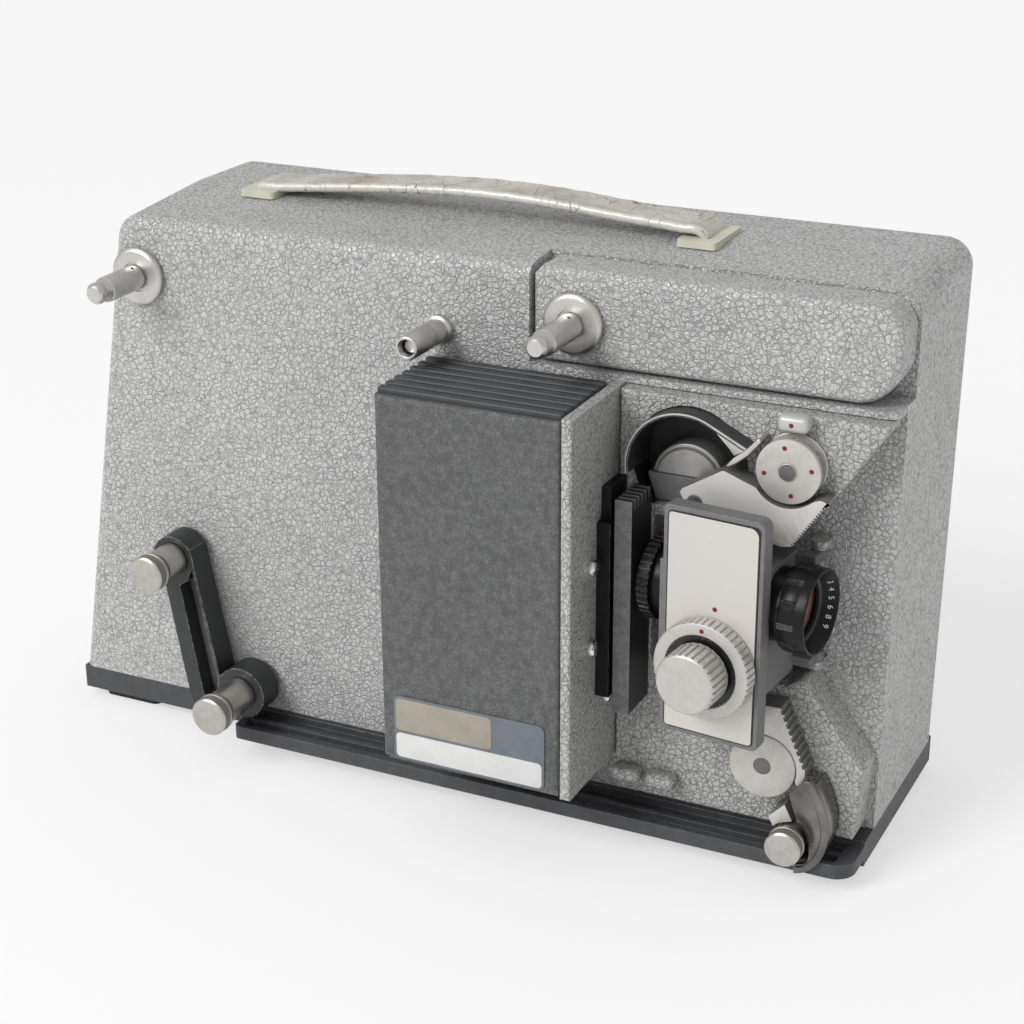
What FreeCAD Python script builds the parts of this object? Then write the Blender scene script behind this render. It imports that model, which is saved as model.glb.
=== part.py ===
import FreeCAD, Part
import Sketcher
import math
import os

# A table-top movie projector for narrow film, in millimetres.
# X runs along the operator's face towards the lens side, Y runs away from the operator, Z is up.
# Sizes below are laid out from the case's left foot corner: x from the left end, y from the front face
# (negative towards the operator), z from the table. The centring cells then move the whole machine so
# that its origin is the middle of its footprint.

DIMENSIONS = (
    ("case_wide", 430, "case length at its foot"),
    ("case_tall", 272.5, "top of the case above the table"),
    ("case_deep", 114, "front face to rear face"),
    ("seam_deep", 63, "front face to the seam between the shells"),
    ("case_foot", 17.5, "underside of the shells, which is the base plate's top"),
    ("left_lean", 43, "how far the left end leans in at the top"),
    ("right_lean", 3.5, "how far the right end leans out at the top"),
    ("top_fall", 5.5, "fall of the top from the seam to the front"),
    ("wall", 3, "shell thickness"),
    ("case_round", 13, "radius of the long upper corners"),
    ("edge_round", 6, "radius of the front and rear edges"),
    ("foot_tall", 5, "height of the rubber feet"),
    ("ledge_left", 107, "left end of the film channel ledge"),
    ("ledge_reach", 22, "ledge in front of the face"),
    ("arm_left", 264, "left end of the feed arm"),
    ("arm_right", 432, "right end of the feed arm"),
    ("arm_low", 224.5, "underside of the feed arm"),
    ("arm_deep", 22, "thickness of the feed arm"),
    ("arm_pivot_x", 411, "feed arm pivot"),
    ("arm_pivot_z", 245, "feed arm pivot"),
    ("gap", 1.5, "gap round the feed arm"),
    ("running", 0.05, "radial clearance of a shaft in its bore"),
    ("post_r", 4, "radius of the tension arm's post and the sprocket shafts"),
    ("pin_r", 2.5, "radius of a roller's pin"),
    ("spindle_r", 6.2, "reel spindle radius"),
    ("flange_r", 14.2, "spindle flange radius"),
    ("feed_x", 284.5, "feed spindle"),
    ("feed_z", 243.8, "feed spindle"),
    ("feed_long", 37.5, "feed spindle in front of its flange"),
    ("takeup_x", 54, "take-up spindle"),
    ("takeup_z", 238.6, "take-up spindle"),
    ("takeup_long", 34, "take-up spindle in front of its flange"),
    ("stub_x", 217.5, "storage stub"),
    ("stub_z", 232.4, "storage stub"),
    ("deck_left", 310.2, "left edge of the film deck"),
    ("deck_top", 219.5, "top edge of the film deck"),
    ("deck_front", 8, "deck's face in front of the main face"),
    ("bay_deep", 13, "depth of the recess behind the deck"),
    ("guide_front", 19.5, "front of the sprocket discs and guides, in front of the main face"),
    ("upper_x", 391.6, "upper sprocket"),
    ("upper_z", 197.5, "upper sprocket"),
    ("lower_x", 386.3, "lower sprocket"),
    ("lower_z", 56.6, "lower sprocket"),
    ("disc_r", 14.5, "sprocket disc radius"),
    ("loop_x", 343.4, "loop chamber"),
    ("loop_z", 189.2, "loop chamber"),
    ("loop_r", 27, "loop chamber radius"),
    ("lamp_left", 215, "left side of the lamp house"),
    ("lamp_right", 304.3, "right side of the lamp cover"),
    ("lamp_low", 41.5, "underside of the lamp house"),
    ("lamp_high", 219, "top of the lamp house panel"),
    ("lamp_reach", 59, "lamp house in front of the main face"),
    ("optic_y", -14, "optical axis"),
    ("optic_z", 137.5, "optical axis"),
    ("gate_x", 333, "film plane"),
    ("toe_out", 6, "angle of the lens axis, turned towards the operator"),
    ("carrier_left", 347, "lens carrier plate"),
    ("carrier_right", 394, "lens carrier plate"),
    ("carrier_low", 76.5, "lens carrier plate"),
    ("carrier_high", 183, "lens carrier plate"),
    ("carrier_front", 38, "carrier plate in front of the main face"),
    ("knob_x", 370.2, "focus knob and framing ring"),
    ("knob_z", 112.8, "focus knob and framing ring"),
    ("ring_r", 22.7, "framing ring radius"),
    ("knob_r", 14, "focus knob radius"),
    ("barrel_r", 16.5, "lens barrel radius"),
    ("lens_ring_r", 19.6, "radius of the lens's end rings"),
    ("tension_x", 109.5, "lower tension roller"),
    ("tension_z", 32, "lower tension roller"),
    ("tension_top_x", 74, "upper tension roller"),
    ("tension_top_z", 99.5, "upper tension roller"),
    ("exit_x", 401.3, "exit roller"),
    ("exit_z", 24, "exit roller"),
    ("lamp_hinge_y", -3.6, "hinge line of the lamp cover"),
    ("hinge_x", 400, "hinge line of the lens carrier"),
    ("hinge_y", 6, "hinge line of the lens carrier"),
    ("motor_x", 132, "left end of the motor's core"),
    ("motor_y", 72, "motor shaft"),
    ("motor_z", 100, "motor shaft"),
    ("motor_pulley_r", 9, "motor's belt pulley"),
    ("shaft_y", 35, "shutter shaft, level with the optical axis"),
    ("shutter_x", 299, "shutter disc"),
    ("shutter_r", 50, "shutter disc radius"),
    ("cross_x", 324, "cross shaft"),
    ("cross_z", 117.5, "cross shaft"),
    ("transformer_x", 30, "left end of the transformer"),
    ("switch_z", 48, "power switch"),
    ("strap_left", 95, "left end of the strap"),
    ("strap_right", 324, "right end of the strap"),
    ("centre_x", 216.66, "middle of the footprint"),
    ("centre_y", 25.335, "middle of the footprint"),
)

doc = FreeCAD.newDocument("movie_projector")
sheet = doc.addObject("Spreadsheet::Sheet", "dims")
for row, (alias, value, meaning) in enumerate(DIMENSIONS, start=1):
    sheet.set("A%d" % row, alias)
    sheet.set("B%d" % row, str(value))
    sheet.setAlias("B%d" % row, alias)
    sheet.set("C%d" % row, meaning)
doc.recompute()


class Size:
    """A length that keeps both its value and its expression in the sheet's cells."""

    def __init__(self, value, text):
        self.value = float(value)
        self.text = text

    def __add__(self, other):
        return Size(self.value + number(other), "(%s + %s)" % (self.text, words(other)))

    def __radd__(self, other):
        return Size(number(other) + self.value, "(%s + %s)" % (words(other), self.text))

    def __sub__(self, other):
        return Size(self.value - number(other), "(%s - %s)" % (self.text, words(other)))

    def __rsub__(self, other):
        return Size(number(other) - self.value, "(%s - %s)" % (words(other), self.text))

    def __mul__(self, other):
        return Size(self.value * number(other), "(%s * %s)" % (self.text, words(other)))

    __rmul__ = __mul__

    def __truediv__(self, other):
        return Size(self.value / number(other), "(%s / %s)" % (self.text, words(other)))

    def __neg__(self):
        return Size(-self.value, "(0 - %s)" % self.text)


def number(size):
    return size.value if isinstance(size, Size) else float(size)


def words(size):
    return size.text if isinstance(size, Size) else "(%r)" % float(size)


class Cells:
    """The sheet's cells as sizes, by alias."""

    def __init__(self):
        for alias, value, meaning in DIMENSIONS:
            setattr(self, alias, Size(value, "dims.%s" % alias))


c = Cells()
V = FreeCAD.Vector
ALONG_Y = FreeCAD.Rotation(V(1, 0, 0), -90)
ALONG_X = FreeCAD.Rotation(V(0, 1, 0), 90)
UPRIGHT = FreeCAD.Rotation()


def bind(thing, name, size):
    """Sets one property of a feature, and ties it to the sheet if the size comes from there."""
    if "." not in name:
        setattr(thing, name, number(size))
    if isinstance(size, Size):
        thing.setExpression(name, size.text)


def put(thing, place, turn=UPRIGHT):
    thing.Placement = FreeCAD.Placement(V(*[number(p) for p in place]), turn)
    for axis, size in zip("xyz", place):
        bind(thing, "Placement.Base." + axis, size)
    return thing


def box(name, low, high):
    """A block between two corners."""
    block = doc.addObject("Part::Box", name)
    for side, first, last in zip(("Length", "Width", "Height"), low, high):
        bind(block, side, last - first)
    return put(block, low)


def rod(name, place, radius, length, turn=ALONG_Y):
    """A cylinder from a place, along Y unless another turn is given."""
    cylinder = doc.addObject("Part::Cylinder", name)
    bind(cylinder, "Radius", radius)
    bind(cylinder, "Height", length)
    return put(cylinder, place, turn)


def taper(name, place, radius, end_radius, length, turn=ALONG_Y):
    cone = doc.addObject("Part::Cone", name)
    bind(cone, "Radius1", radius)
    bind(cone, "Radius2", end_radius)
    bind(cone, "Height", length)
    return put(cone, place, turn)


def fuse(name, *shapes, refine=True):
    whole = doc.addObject("Part::MultiFuse", name)
    whole.Shapes = list(shapes)
    whole.Refine = refine
    doc.recompute()
    return whole


def cut(name, base, *tools):
    """The base with each tool taken out of it."""
    tool = tools[0] if len(tools) == 1 else fuse(name + "_tools", *tools)
    result = doc.addObject("Part::Cut", name)
    result.Base = base
    result.Tool = tool
    result.Refine = True
    doc.recompute()
    return result


def group(name, *shapes):
    """Separate solids that share one node."""
    together = doc.addObject("Part::Compound", name)
    together.Links = list(shapes)
    doc.recompute()
    return together


def outline(name, points, back, front, rounds=()):
    """A plate in the upright plane: a closed outline of (x, z) points between two depths.

    rounds holds (radius, [point numbers]) for the outline's corners.
    """
    body = doc.addObject("PartDesign::Body", name)
    sketch = body.newObject("Sketcher::SketchObject", name + "_sketch")
    plane = [p for p in body.Origin.OriginFeatures if p.Role == "XZ_Plane"][0]
    sketch.AttachmentSupport = [(plane, "")]
    sketch.MapMode = "FlatFace"
    corners = [V(number(x), number(z), 0) for x, z in points]
    for first in range(len(corners)):
        sketch.addGeometry(Part.LineSegment(corners[first], corners[(first + 1) % len(corners)]))
    for first in range(len(corners)):
        sketch.addConstraint(Sketcher.Constraint("Coincident", first, 2, (first + 1) % len(corners), 1))
    for which, (x, z) in enumerate(points):
        for kind, size, axis in (("DistanceX", x, -2), ("DistanceY", z, -1)):
            if number(size) == 0:
                sketch.addConstraint(Sketcher.Constraint("PointOnObject", which, 1, axis))
                continue
            mark = sketch.addConstraint(Sketcher.Constraint(kind, -1, 1, which, 1, number(size)))
            if isinstance(size, Size):
                sketch.setExpression("Constraints[%d]" % mark, size.text)
    sketch.AttachmentOffset = FreeCAD.Placement(V(0, 0, -number(back)), FreeCAD.Rotation())
    if isinstance(back, Size):
        sketch.setExpression("AttachmentOffset.Base.z", (-back).text)
    pad = body.newObject("PartDesign::Pad", name + "_pad")
    pad.Profile = sketch
    bind(pad, "Length", back - front if isinstance(back, Size) else number(back) - front)
    doc.recompute()
    last = pad
    for turn, (radius, which) in enumerate(rounds):
        edges = upright_edges(last.Shape, [points[k] for k in which])
        fillet = body.newObject("PartDesign::Fillet", "%s_round_%d" % (name, turn))
        fillet.Base = (last, edges)
        bind(fillet, "Radius", radius)
        doc.recompute()
        last = fillet
    body.Tip = last
    doc.recompute()
    return body


def upright_edges(shape, places):
    """Names of the edges that run along Y at the given (x, z) places."""
    names = []
    for x, z in places:
        for count, edge in enumerate(shape.Edges, start=1):
            first, last = edge.firstVertex().Point, edge.lastVertex().Point
            if abs(first.x - last.x) > 0.01 or abs(first.z - last.z) > 0.01:
                continue
            if math.hypot(first.x - number(x), first.z - number(z)) < 0.05:
                names.append("Edge%d" % count)
    return names


def edges_where(shape, test):
    return [n for n, edge in enumerate(shape.Edges, start=1) if test(edge)]


def soften(name, base, radius, test):
    """The base with a fillet on every edge that the test picks."""
    fillet = doc.addObject("Part::Fillet", name)
    fillet.Base = base
    fillet.Edges = [(n, number(radius), number(radius)) for n in edges_where(base.Shape, test)]
    doc.recompute()
    return fillet


def ring(name, place, outer, inner, length, turn=ALONG_Y):
    """A tube or a washer from a place, along Y unless another turn is given."""
    return cut(name, rod(name + "_outside", place, outer, length, turn),
               rod(name + "_bore", place, inner, length, turn))


NODES = []
PIVOTS = []
COVER_SCREWS = ((30, 40), (405, 40), (66, 245), (405, 245))
BELT_PLACES = (42, 47.2)
BELT_THICK = 1.6
BELT_GAP = 0.3
SPROCKET_PULLEY_R = 9
SPROCKET_TEETH = 18
CARRIER_LUGS = (101.3, 150.3)
LUG_TALL = 4.4
FRAME_LEFT = 130
FRAME_RIGHT = 422
FRAME_FACE = 26.5


def node(label, thing, toed=False):
    """Files a finished sub-part under its own name, for the placing at the end."""
    NODES.append((label, thing, toed))
    return thing


# Case

def case_outline(inset):
    """The case's leaning outline, or the hollow inside it, open at the foot."""
    foot = c.case_foot if inset is None else c.case_foot - 1
    side = 0 if inset is None else inset
    top = c.case_tall - side
    return [(side, foot), (c.left_lean + side, top), (c.case_wide + c.right_lean - side, top),
            (c.case_wide - side, foot)]


def front_housing():
    outer = outline("housing_outside", case_outline(None), c.seam_deep, 0)
    fallen = cut("housing_fallen", outer, top_fall_tool("housing_fall", 0, c.seam_deep))
    cornered = soften("housing_cornered", fallen, c.case_round, upper_corner)
    rounded = soften("housing_rounded", cornered, c.edge_round,
                     lambda e: e.BoundBox.YMax < 0.01 and e.BoundBox.ZMax > 30)
    block = outline("housing_inside", case_outline(c.wall), c.seam_deep, c.wall)
    under = cut("housing_under", block, top_fall_tool("housing_roof", c.wall, c.seam_deep))
    hollow = soften("housing_room", under, c.case_round - c.wall, upper_corner)
    arm_low = c.arm_low - c.gap
    arm_back = c.arm_deep + c.gap
    arm_liner = box("arm_liner", (c.arm_left - c.gap - c.wall, -1, arm_low - c.wall),
                    (c.case_wide + 20, arm_back + c.wall, c.case_tall + 20))
    bay_liner = box("bay_liner", (c.deck_left - c.wall, -1, 0),
                    (c.case_wide + 20, c.bay_deep + c.wall, arm_low))
    inside = cut("housing_hollow", hollow, arm_liner, bay_liner)
    arm_recess = box("arm_recess", (c.arm_left - c.gap, -1, arm_low),
                     (c.case_wide + 20, arm_back, c.case_tall + 20))
    bay = box("bay", (c.deck_left - 0.2, -1, 0), (c.case_wide + 20, c.bay_deep, arm_low - c.wall))
    duct = box("lamp_duct", (c.lamp_left + 12, -1, c.lamp_low + 20),
               (c.lamp_right - 2, c.wall + 1, c.lamp_high - 10))
    takeup_hole = rod("takeup_hole", (c.takeup_x, -1, c.takeup_z), c.spindle_r + c.running, 6)
    pivot_hole = rod("pivot_hole", (c.arm_pivot_x, 0, c.arm_pivot_z), 5.3, 40)
    upper_hole = rod("upper_shaft_hole", (c.upper_x, 0, c.upper_z), 4.3, 30)
    lower_hole = rod("lower_shaft_hole", (c.lower_x, 0, c.lower_z), 4.3, 30)
    tension_hole = rod("tension_hole", (c.tension_x, -1, c.tension_z), c.post_r, 6)
    shell = cut("front_housing", rounded, inside, arm_recess, bay, duct, takeup_hole, pivot_hole,
                upper_hole, lower_hole, tension_hole)
    return node("front_housing", shell)


def upper_corner(edge):
    """The front shell's two long upper edges, which run back along the falling top."""
    box = edge.BoundBox
    return box.YLength > 50 and box.ZMin > number(c.case_tall) - 20


def top_fall_tool(name, drop, back):
    """The space above the falling top, lowered by drop, as a prism that ends at the depth back."""
    body = doc.addObject("PartDesign::Body", name)
    sketch = body.newObject("Sketcher::SketchObject", name + "_sketch")
    plane = [p for p in body.Origin.OriginFeatures if p.Role == "YZ_Plane"][0]
    sketch.AttachmentSupport = [(plane, "")]
    sketch.MapMode = "FlatFace"
    high = number(c.case_tall - drop)
    front = high - number(c.top_fall)
    run = number(c.seam_deep)
    slope = number(c.top_fall) / run
    last = number(back)
    corners = [V(-10, front - 10 * slope, 0), V(run, high, 0), V(last, high, 0), V(last, high + 30, 0),
               V(-10, high + 30, 0)]
    if last - run < 0.01:
        corners.pop(2)
    for first in range(len(corners)):
        sketch.addGeometry(Part.LineSegment(corners[first], corners[(first + 1) % len(corners)]))
    for first in range(len(corners)):
        sketch.addConstraint(Sketcher.Constraint("Coincident", first, 2, (first + 1) % len(corners), 1))
    pad = body.newObject("PartDesign::Pad", name + "_pad")
    pad.Profile = sketch
    bind(pad, "Length", c.case_wide + 60)
    doc.recompute()
    return body


def rear_cover():
    outer = outline("cover_outside", case_outline(None), c.case_deep, c.seam_deep + 0.3,
                    rounds=[(c.case_round, [1, 2])])
    rounded = soften("cover_rounded", outer, c.case_round - 5,
                     lambda e: e.BoundBox.YMin > number(c.case_deep) - 0.01 and e.BoundBox.ZMax > 30)
    inside = outline("cover_inside", case_outline(c.wall), c.case_deep - c.wall, c.seam_deep - 1,
                     rounds=[(c.case_round - c.wall, [1, 2])])
    slots = []
    for bank, left in enumerate((60, 250)):
        for row in range(9):
            low = 150 + 9 * row
            slots.append(box("vent_%d_%d" % (bank, row), (left, c.case_deep - 6, low),
                             (left + 90, c.case_deep + 6, low + 4)))
    inlet_hole = box("inlet_hole", (61, c.case_deep - 6, 36), (93, c.case_deep + 6, 60))
    switch_hole = box("switch_hole", (111, c.case_deep - 6, 38), (127, c.case_deep + 6, 58))
    screws = [rod("screw_hole_%d" % k, (x, c.case_deep - 6, z), 2.4, 12)
              for k, (x, z) in enumerate(COVER_SCREWS)]
    cover = cut("rear_cover", rounded, inside, inlet_hole, switch_hole, *(slots + screws))
    return node("rear_cover", cover)


def cover_screws():
    """Pan-head screws through the rear cover."""
    screws = []
    for k, (x, z) in enumerate(COVER_SCREWS):
        head = rod("cover_screw_head_%d" % k, (x, c.case_deep, z), 4.5, 2.2)
        shank = rod("cover_screw_shank_%d" % k, (x, c.case_deep - 20, z), 2, 20)
        slot = box("cover_screw_slot_%d" % k, (x - 4.6, c.case_deep + 1.2, z - 0.5),
                   (x + 4.6, c.case_deep + 2.4, z + 0.5))
        screws.append(cut("cover_screw_%d" % k, fuse("cover_screw_blank_%d" % k, head, shank), slot))
    return screws


def base_plate():
    """The black base with the film channel ledge along the front."""
    slab = box("base_slab", (0, 0, c.foot_tall), (c.case_wide, c.case_deep, c.case_foot))
    low, high = c.foot_tall + 3.5, c.case_foot - 2
    bar = box("base_ledge_bar", (c.ledge_left, -c.ledge_reach, low), (c.case_wide, 1, high))
    ledge = soften("base_ledge", bar, 10, lambda e: e.BoundBox.ZLength > 5 and e.BoundBox.YMax < -1
                   and e.BoundBox.XMin > number(c.case_wide) - 1)
    blank = soften("base_blank", fuse("base_whole", slab, ledge), 3,
                   lambda e: e.BoundBox.ZLength > 5 and abs(e.BoundBox.YMax) > 0.5
                   and not (e.BoundBox.YMax < -1 and e.BoundBox.XMin > 200))
    left, right = c.ledge_left + 4, c.case_wide - 8
    outer_groove = box("channel_outer", (left, 3 - c.ledge_reach, high - 3.5), (right, -12.5, high + 5))
    inner_groove = box("channel_inner", (left, -9.5, high - 3.5), (right, -0.2, high + 5))
    return node("base_plate", cut("base_plate", blank, outer_groove, inner_groove))


def rubber_feet():
    """Four long rubber feet, left, right, front and rear."""
    feet = []
    for k, (x, y) in enumerate(((8, 5), (c.case_wide - 42, 5), (8, c.case_deep - 21),
                                (c.case_wide - 42, c.case_deep - 21))):
        block = box("foot_block_%d" % k, (x, y, 0), (x + 34, y + 16, c.foot_tall))
        feet.append(soften("foot_%d" % k, block, 4, lambda e: e.BoundBox.ZLength > 3))
    return node("rubber_feet", group("rubber_feet", *feet))


def handle():
    """The carrying strap and the plates that hold its ends on the seam."""
    top = c.case_tall
    middle = 60
    plates = []
    for k, x in enumerate((c.strap_left, c.strap_right)):
        plate = box("strap_plate_%d" % k, (x - 9.5, middle - 17, top - 1.2),
                    (x + 9.5, middle + 17, top + 2.2))
        plates.append(soften("strap_plate_round_%d" % k, plate, 2, lambda e: e.BoundBox.ZLength > 2))
    node("handle_plates", group("handle_plates", *plates))
    span = number(c.strap_right - c.strap_left)
    ends = 2.2
    rise = 7
    thick = 4.5
    foot = number(top) + ends
    left = number(c.strap_left)
    stations = 8
    upper = []
    for k in range(stations + 1):
        part = k / stations
        upper.append((left + span * part, foot + rise * math.sin(math.pi * part) ** 0.6))
    lower = [(x, z) for x, z in reversed(upper)]
    points = [(x, z + thick) for x, z in upper] + lower
    strap = outline("strap_band", points, middle + 12.5, middle - 12.5)
    return node("handle_strap", strap)


# Feed arm and reel spindles

def feed_arm():
    """The hollow arm that swings up to carry the feed reel."""
    top = c.case_tall - c.top_fall + 0.8
    points = [(c.arm_left, c.arm_low), (c.arm_left, top - 4), (c.arm_left + 4, top), (c.arm_right, top),
              (c.arm_right, c.arm_low)]
    solid = outline("arm_solid", points, c.arm_deep, 0, rounds=[(20, [4]), (c.case_round, [3]), (5, [0])])
    rounded = soften("arm_rounded", solid, 4, lambda e: e.BoundBox.YMax < 0.01)
    room_end = c.arm_pivot_x - 14
    pocket = box("arm_pocket", (c.arm_left + c.wall, c.wall, c.arm_low + c.wall),
                 (room_end, c.arm_deep + 1, top - c.wall))
    pivot = rod("arm_pivot_bore", (c.arm_pivot_x, 6, c.arm_pivot_z), 5 + c.running, c.arm_deep)
    bore = rod("arm_spindle_bore", (c.feed_x, -1, c.feed_z), c.spindle_r + c.running, c.arm_deep)
    return node("feed_arm", cut("feed_arm", rounded, pocket, pivot, bore))


def arm_pivot():
    """The fixed post that the feed arm turns on."""
    post = rod("arm_post", (c.arm_pivot_x, 7, c.arm_pivot_z), 5, c.arm_deep + 12)
    collar = rod("arm_collar", (c.arm_pivot_x, c.arm_deep + c.gap + c.wall, c.arm_pivot_z), 9, 6)
    return fuse("arm_pivot", post, collar)


def reel_spindle(label, x, z, reach, inside):
    """A reel spindle with its flange, a necked tip and the drive key's slot."""
    flange = rod(label + "_flange", (x, -4, z), c.flange_r, 3.6)
    hub = rod(label + "_hub", (x, -6, z), c.spindle_r + 2.2, 2.2)
    shaft = rod(label + "_shaft", (x, 4 - reach, z), c.spindle_r, reach - 4 + inside)
    neck = rod(label + "_neck", (x, -reach, z), c.spindle_r - 1.4, 4.2)
    tip = taper(label + "_tip", (x, -reach - 4, z), c.spindle_r - 2.2, c.spindle_r - 0.4, 4)
    pulley = rod(label + "_pulley", (x, inside - 5, z), c.spindle_r + 4, 5)
    slot = box(label + "_slot", (x - 0.9, -16, z + 3), (x + 0.9, -7, z + 8))
    hole = rod(label + "_detent", (x, 8 - reach, z - 8), 1.3, 16, UPRIGHT)
    whole = fuse(label + "_whole", flange, hub, shaft, neck, tip, pulley)
    return node(label, cut(label, whole, slot, hole))


def storage_stub():
    """A plain hollow post for parking an empty reel."""
    tube = rod("stub_tube", (c.stub_x, -32.5, c.stub_z), 5.7, 32.5)
    collar = rod("stub_collar", (c.stub_x, -3, c.stub_z), 7.2, 3)
    bore = rod("stub_bore", (c.stub_x, -34, c.stub_z), 3.9, 6.5)
    return node("storage_stub", cut("storage_stub", fuse("stub_whole", tube, collar), bore))


# Film deck

def mechanism_deck():
    """The raised casting that carries the film path, with the lens bay's notch and the loop chamber."""
    x, z = c.deck_left, c.deck_top
    right = c.case_wide
    notch_low, notch_high = c.optic_z - 45.5, c.optic_z + 25.5
    points = [(x, 22), (right - 4, 22), (right - 1, 56.5), (399, 97), (392, notch_low), (327, notch_low),
              (327, notch_high), (392, notch_high), (412.5, 188.5), (right + 1, 217), (right + 1, z), (x, z)]
    blank = outline("deck_blank", points, c.bay_deep, -c.deck_front, rounds=[(3, [3, 8]), (2, [5, 6])])
    eased = soften("deck_eased", blank, 1.2, lambda e: e.BoundBox.YMax < 0.01 - number(c.deck_front))
    chamber = cut("deck_chamber",
                  rod("chamber_round", (c.loop_x, -c.deck_front - 1, c.loop_z), c.loop_r, 18),
                  box("chamber_floor", (x, -30, c.loop_z - 40), (right, 30, c.loop_z - 21)))
    upper_hole = rod("deck_upper_hole", (c.upper_x, -30, c.upper_z), 4.3, 60)
    lower_hole = rod("deck_lower_hole", (c.lower_x, -30, c.lower_z), 4.3, 60)
    exit_hole = rod("deck_exit_hole", (c.exit_x, -30, c.exit_z), c.pin_r, 60)
    return node("mechanism_deck", cut("mechanism_deck", eased, chamber, upper_hole, lower_hole, exit_hole))


def film_loop_shroud():
    """The curved strip that keeps the upper film loop round, with a straight tail over the film pin."""
    outer = c.loop_r.value - 0.4
    inner = outer - 1.4
    steps = 14
    first, last = 190, 64
    rim, bore = [], []
    for k in range(steps + 1):
        turn = math.radians(first + (last - first) * k / steps)
        rim.append((c.loop_x.value + outer * math.cos(turn), c.loop_z.value + outer * math.sin(turn)))
        bore.append((c.loop_x.value + inner * math.cos(turn), c.loop_z.value + inner * math.sin(turn)))
    arc = outline("shroud_arc", rim + bore[::-1], 9, -18)
    tail = outline("shroud_tail", [bore[-1], rim[-1], (c.loop_x + 29, c.loop_z + 15.4),
                                   (c.loop_x + 28.4, c.loop_z + 14)], -c.deck_front, -18)
    return node("film_loop_shroud", fuse("film_loop_shroud", arc, tail))


def film_loop_drum():
    drum = rod("drum_body", (c.loop_x - 3, -1, c.loop_z - 10), 17, 10)
    lip = rod("drum_lip", (c.loop_x - 3, -2.5, c.loop_z - 10), 15, 1.6)
    below = box("drum_below", (c.loop_x - 30, -20, c.loop_z - 60), (c.loop_x + 30, 20, c.loop_z - 7.5))
    return node("film_loop_drum", cut("film_loop_drum", fuse("drum_whole", drum, lip), below))


def film_pin():
    place = (c.upper_x - 24.8, -20, c.upper_z + 1.5)
    nose = taper("pin_nose", (place[0], -20, place[2]), 1.2, 2, 8)
    stem = rod("pin_stem", (place[0], -12, place[2]), 2, 21)
    return node("film_pin", fuse("film_pin", nose, stem))


def index_tab():
    left, right = c.upper_x - 7, c.upper_x + 6.8
    block = box("tab_block", (left, -c.deck_front - 8.5, c.deck_top - 6),
                (right, -c.deck_front, c.deck_top + 1.5))
    return node("index_tab", soften("index_tab", block, 2.6, lambda e: e.BoundBox.YLength > 8))


def deck_film_blocks(exit_shoe):
    """The deck's film shoes: two low blocks at its foot, and the one before the exit roller."""
    blocks = []
    for k, left in enumerate((307, 324.5)):
        block = box("film_block_%d" % k, (left + 4, -c.deck_front - 8, 30), (left + 18, -c.deck_front, 37))
        blocks.append(soften("film_block_round_%d" % k, block, 2.4, lambda e: e.BoundBox.YLength > 7))
    return node("deck_film_blocks", group("deck_film_blocks", exit_shoe, *blocks))


def sprocket(label, x, z, teeth, front_disc):
    """A toothed film drum on its shaft, with its belt pulley behind the frame plate.

    The front disc is left out where a guide plate covers it.
    """
    deck = -c.deck_front - 0.5
    back = rod(label + "_back_disc", (x, deck - 1.6, z), c.disc_r, 1.6)
    drum = rod(label + "_drum", (x, deck - 8.5, z), 11, 7.5)
    shaft = rod(label + "_rod", (x, -c.guide_front - 0.6, z), c.post_r, BELT_PLACES[1] + 26)
    pulley_y = BELT_PLACES[0 if front_disc else 1]
    pulley = rod(label + "_pulley", (x, pulley_y, z), SPROCKET_PULLEY_R, 4.4)
    rim = rod(label + "_pulley_rim", (x, pulley_y - 0.8, z), SPROCKET_PULLEY_R + 2, 0.8)
    parts = [back, drum, shaft, pulley, rim]
    if front_disc:
        parts.append(rod(label + "_front_disc", (x, -c.guide_front, z), c.disc_r, 2.6))
    pitch_r = 11
    for k in range(teeth):
        turn = 2 * math.pi * k / teeth
        tooth = doc.addObject("Part::Box", "%s_tooth_%d" % (label, k))
        tooth.Length, tooth.Width, tooth.Height = 1.2, 1.6, 2.2
        turned = FreeCAD.Rotation(V(0, 1, 0), math.degrees(turn))
        offset = turned.multVec(V(-0.6, 0, pitch_r - 0.6))
        tooth.Placement = FreeCAD.Placement(V(number(x), number(deck) - 7.4, number(z)) + offset, turned)
        parts.append(tooth)
    return node(label, fuse(label, *parts))


def upper_film_guide():
    """The shoe that wraps film round the upper sprocket, with a serrated thumb edge."""
    x, z = c.upper_x, c.upper_z
    low = z - 34
    reach = 16.2
    arc = []
    for k in range(7):
        turn = math.radians(222 + 14 * k)
        arc.append((x + reach * math.cos(turn), z + reach * math.sin(turn)))
    edge = []
    teeth = 9
    first, last = (410.3, 186.5), (394.6, 163.7)
    for k in range(teeth):
        for part, step in ((k / teeth, 0), ((k + 0.5) / teeth, 0.9)):
            edge.append((first[0] + (last[0] - first[0]) * part + step,
                         first[1] + (last[1] - first[1]) * part - step * 0.7))
    points = ([(x - 48, z - 16.5), (x - 28.5, z - 3.8)] + arc + [(x + 15.8, z - 10)] + edge +
              [(x - 1, low), (x - 43, z - 26)])
    plate = outline("upper_guide_plate", points, -c.deck_front - 0.6, -c.guide_front - 0.6)
    pivot = rod("upper_guide_screw", (x - 41, -c.guide_front - 1.6, z - 20), 3.4, 3)
    return node("upper_film_guide", fuse("upper_film_guide", plate, pivot))


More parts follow.
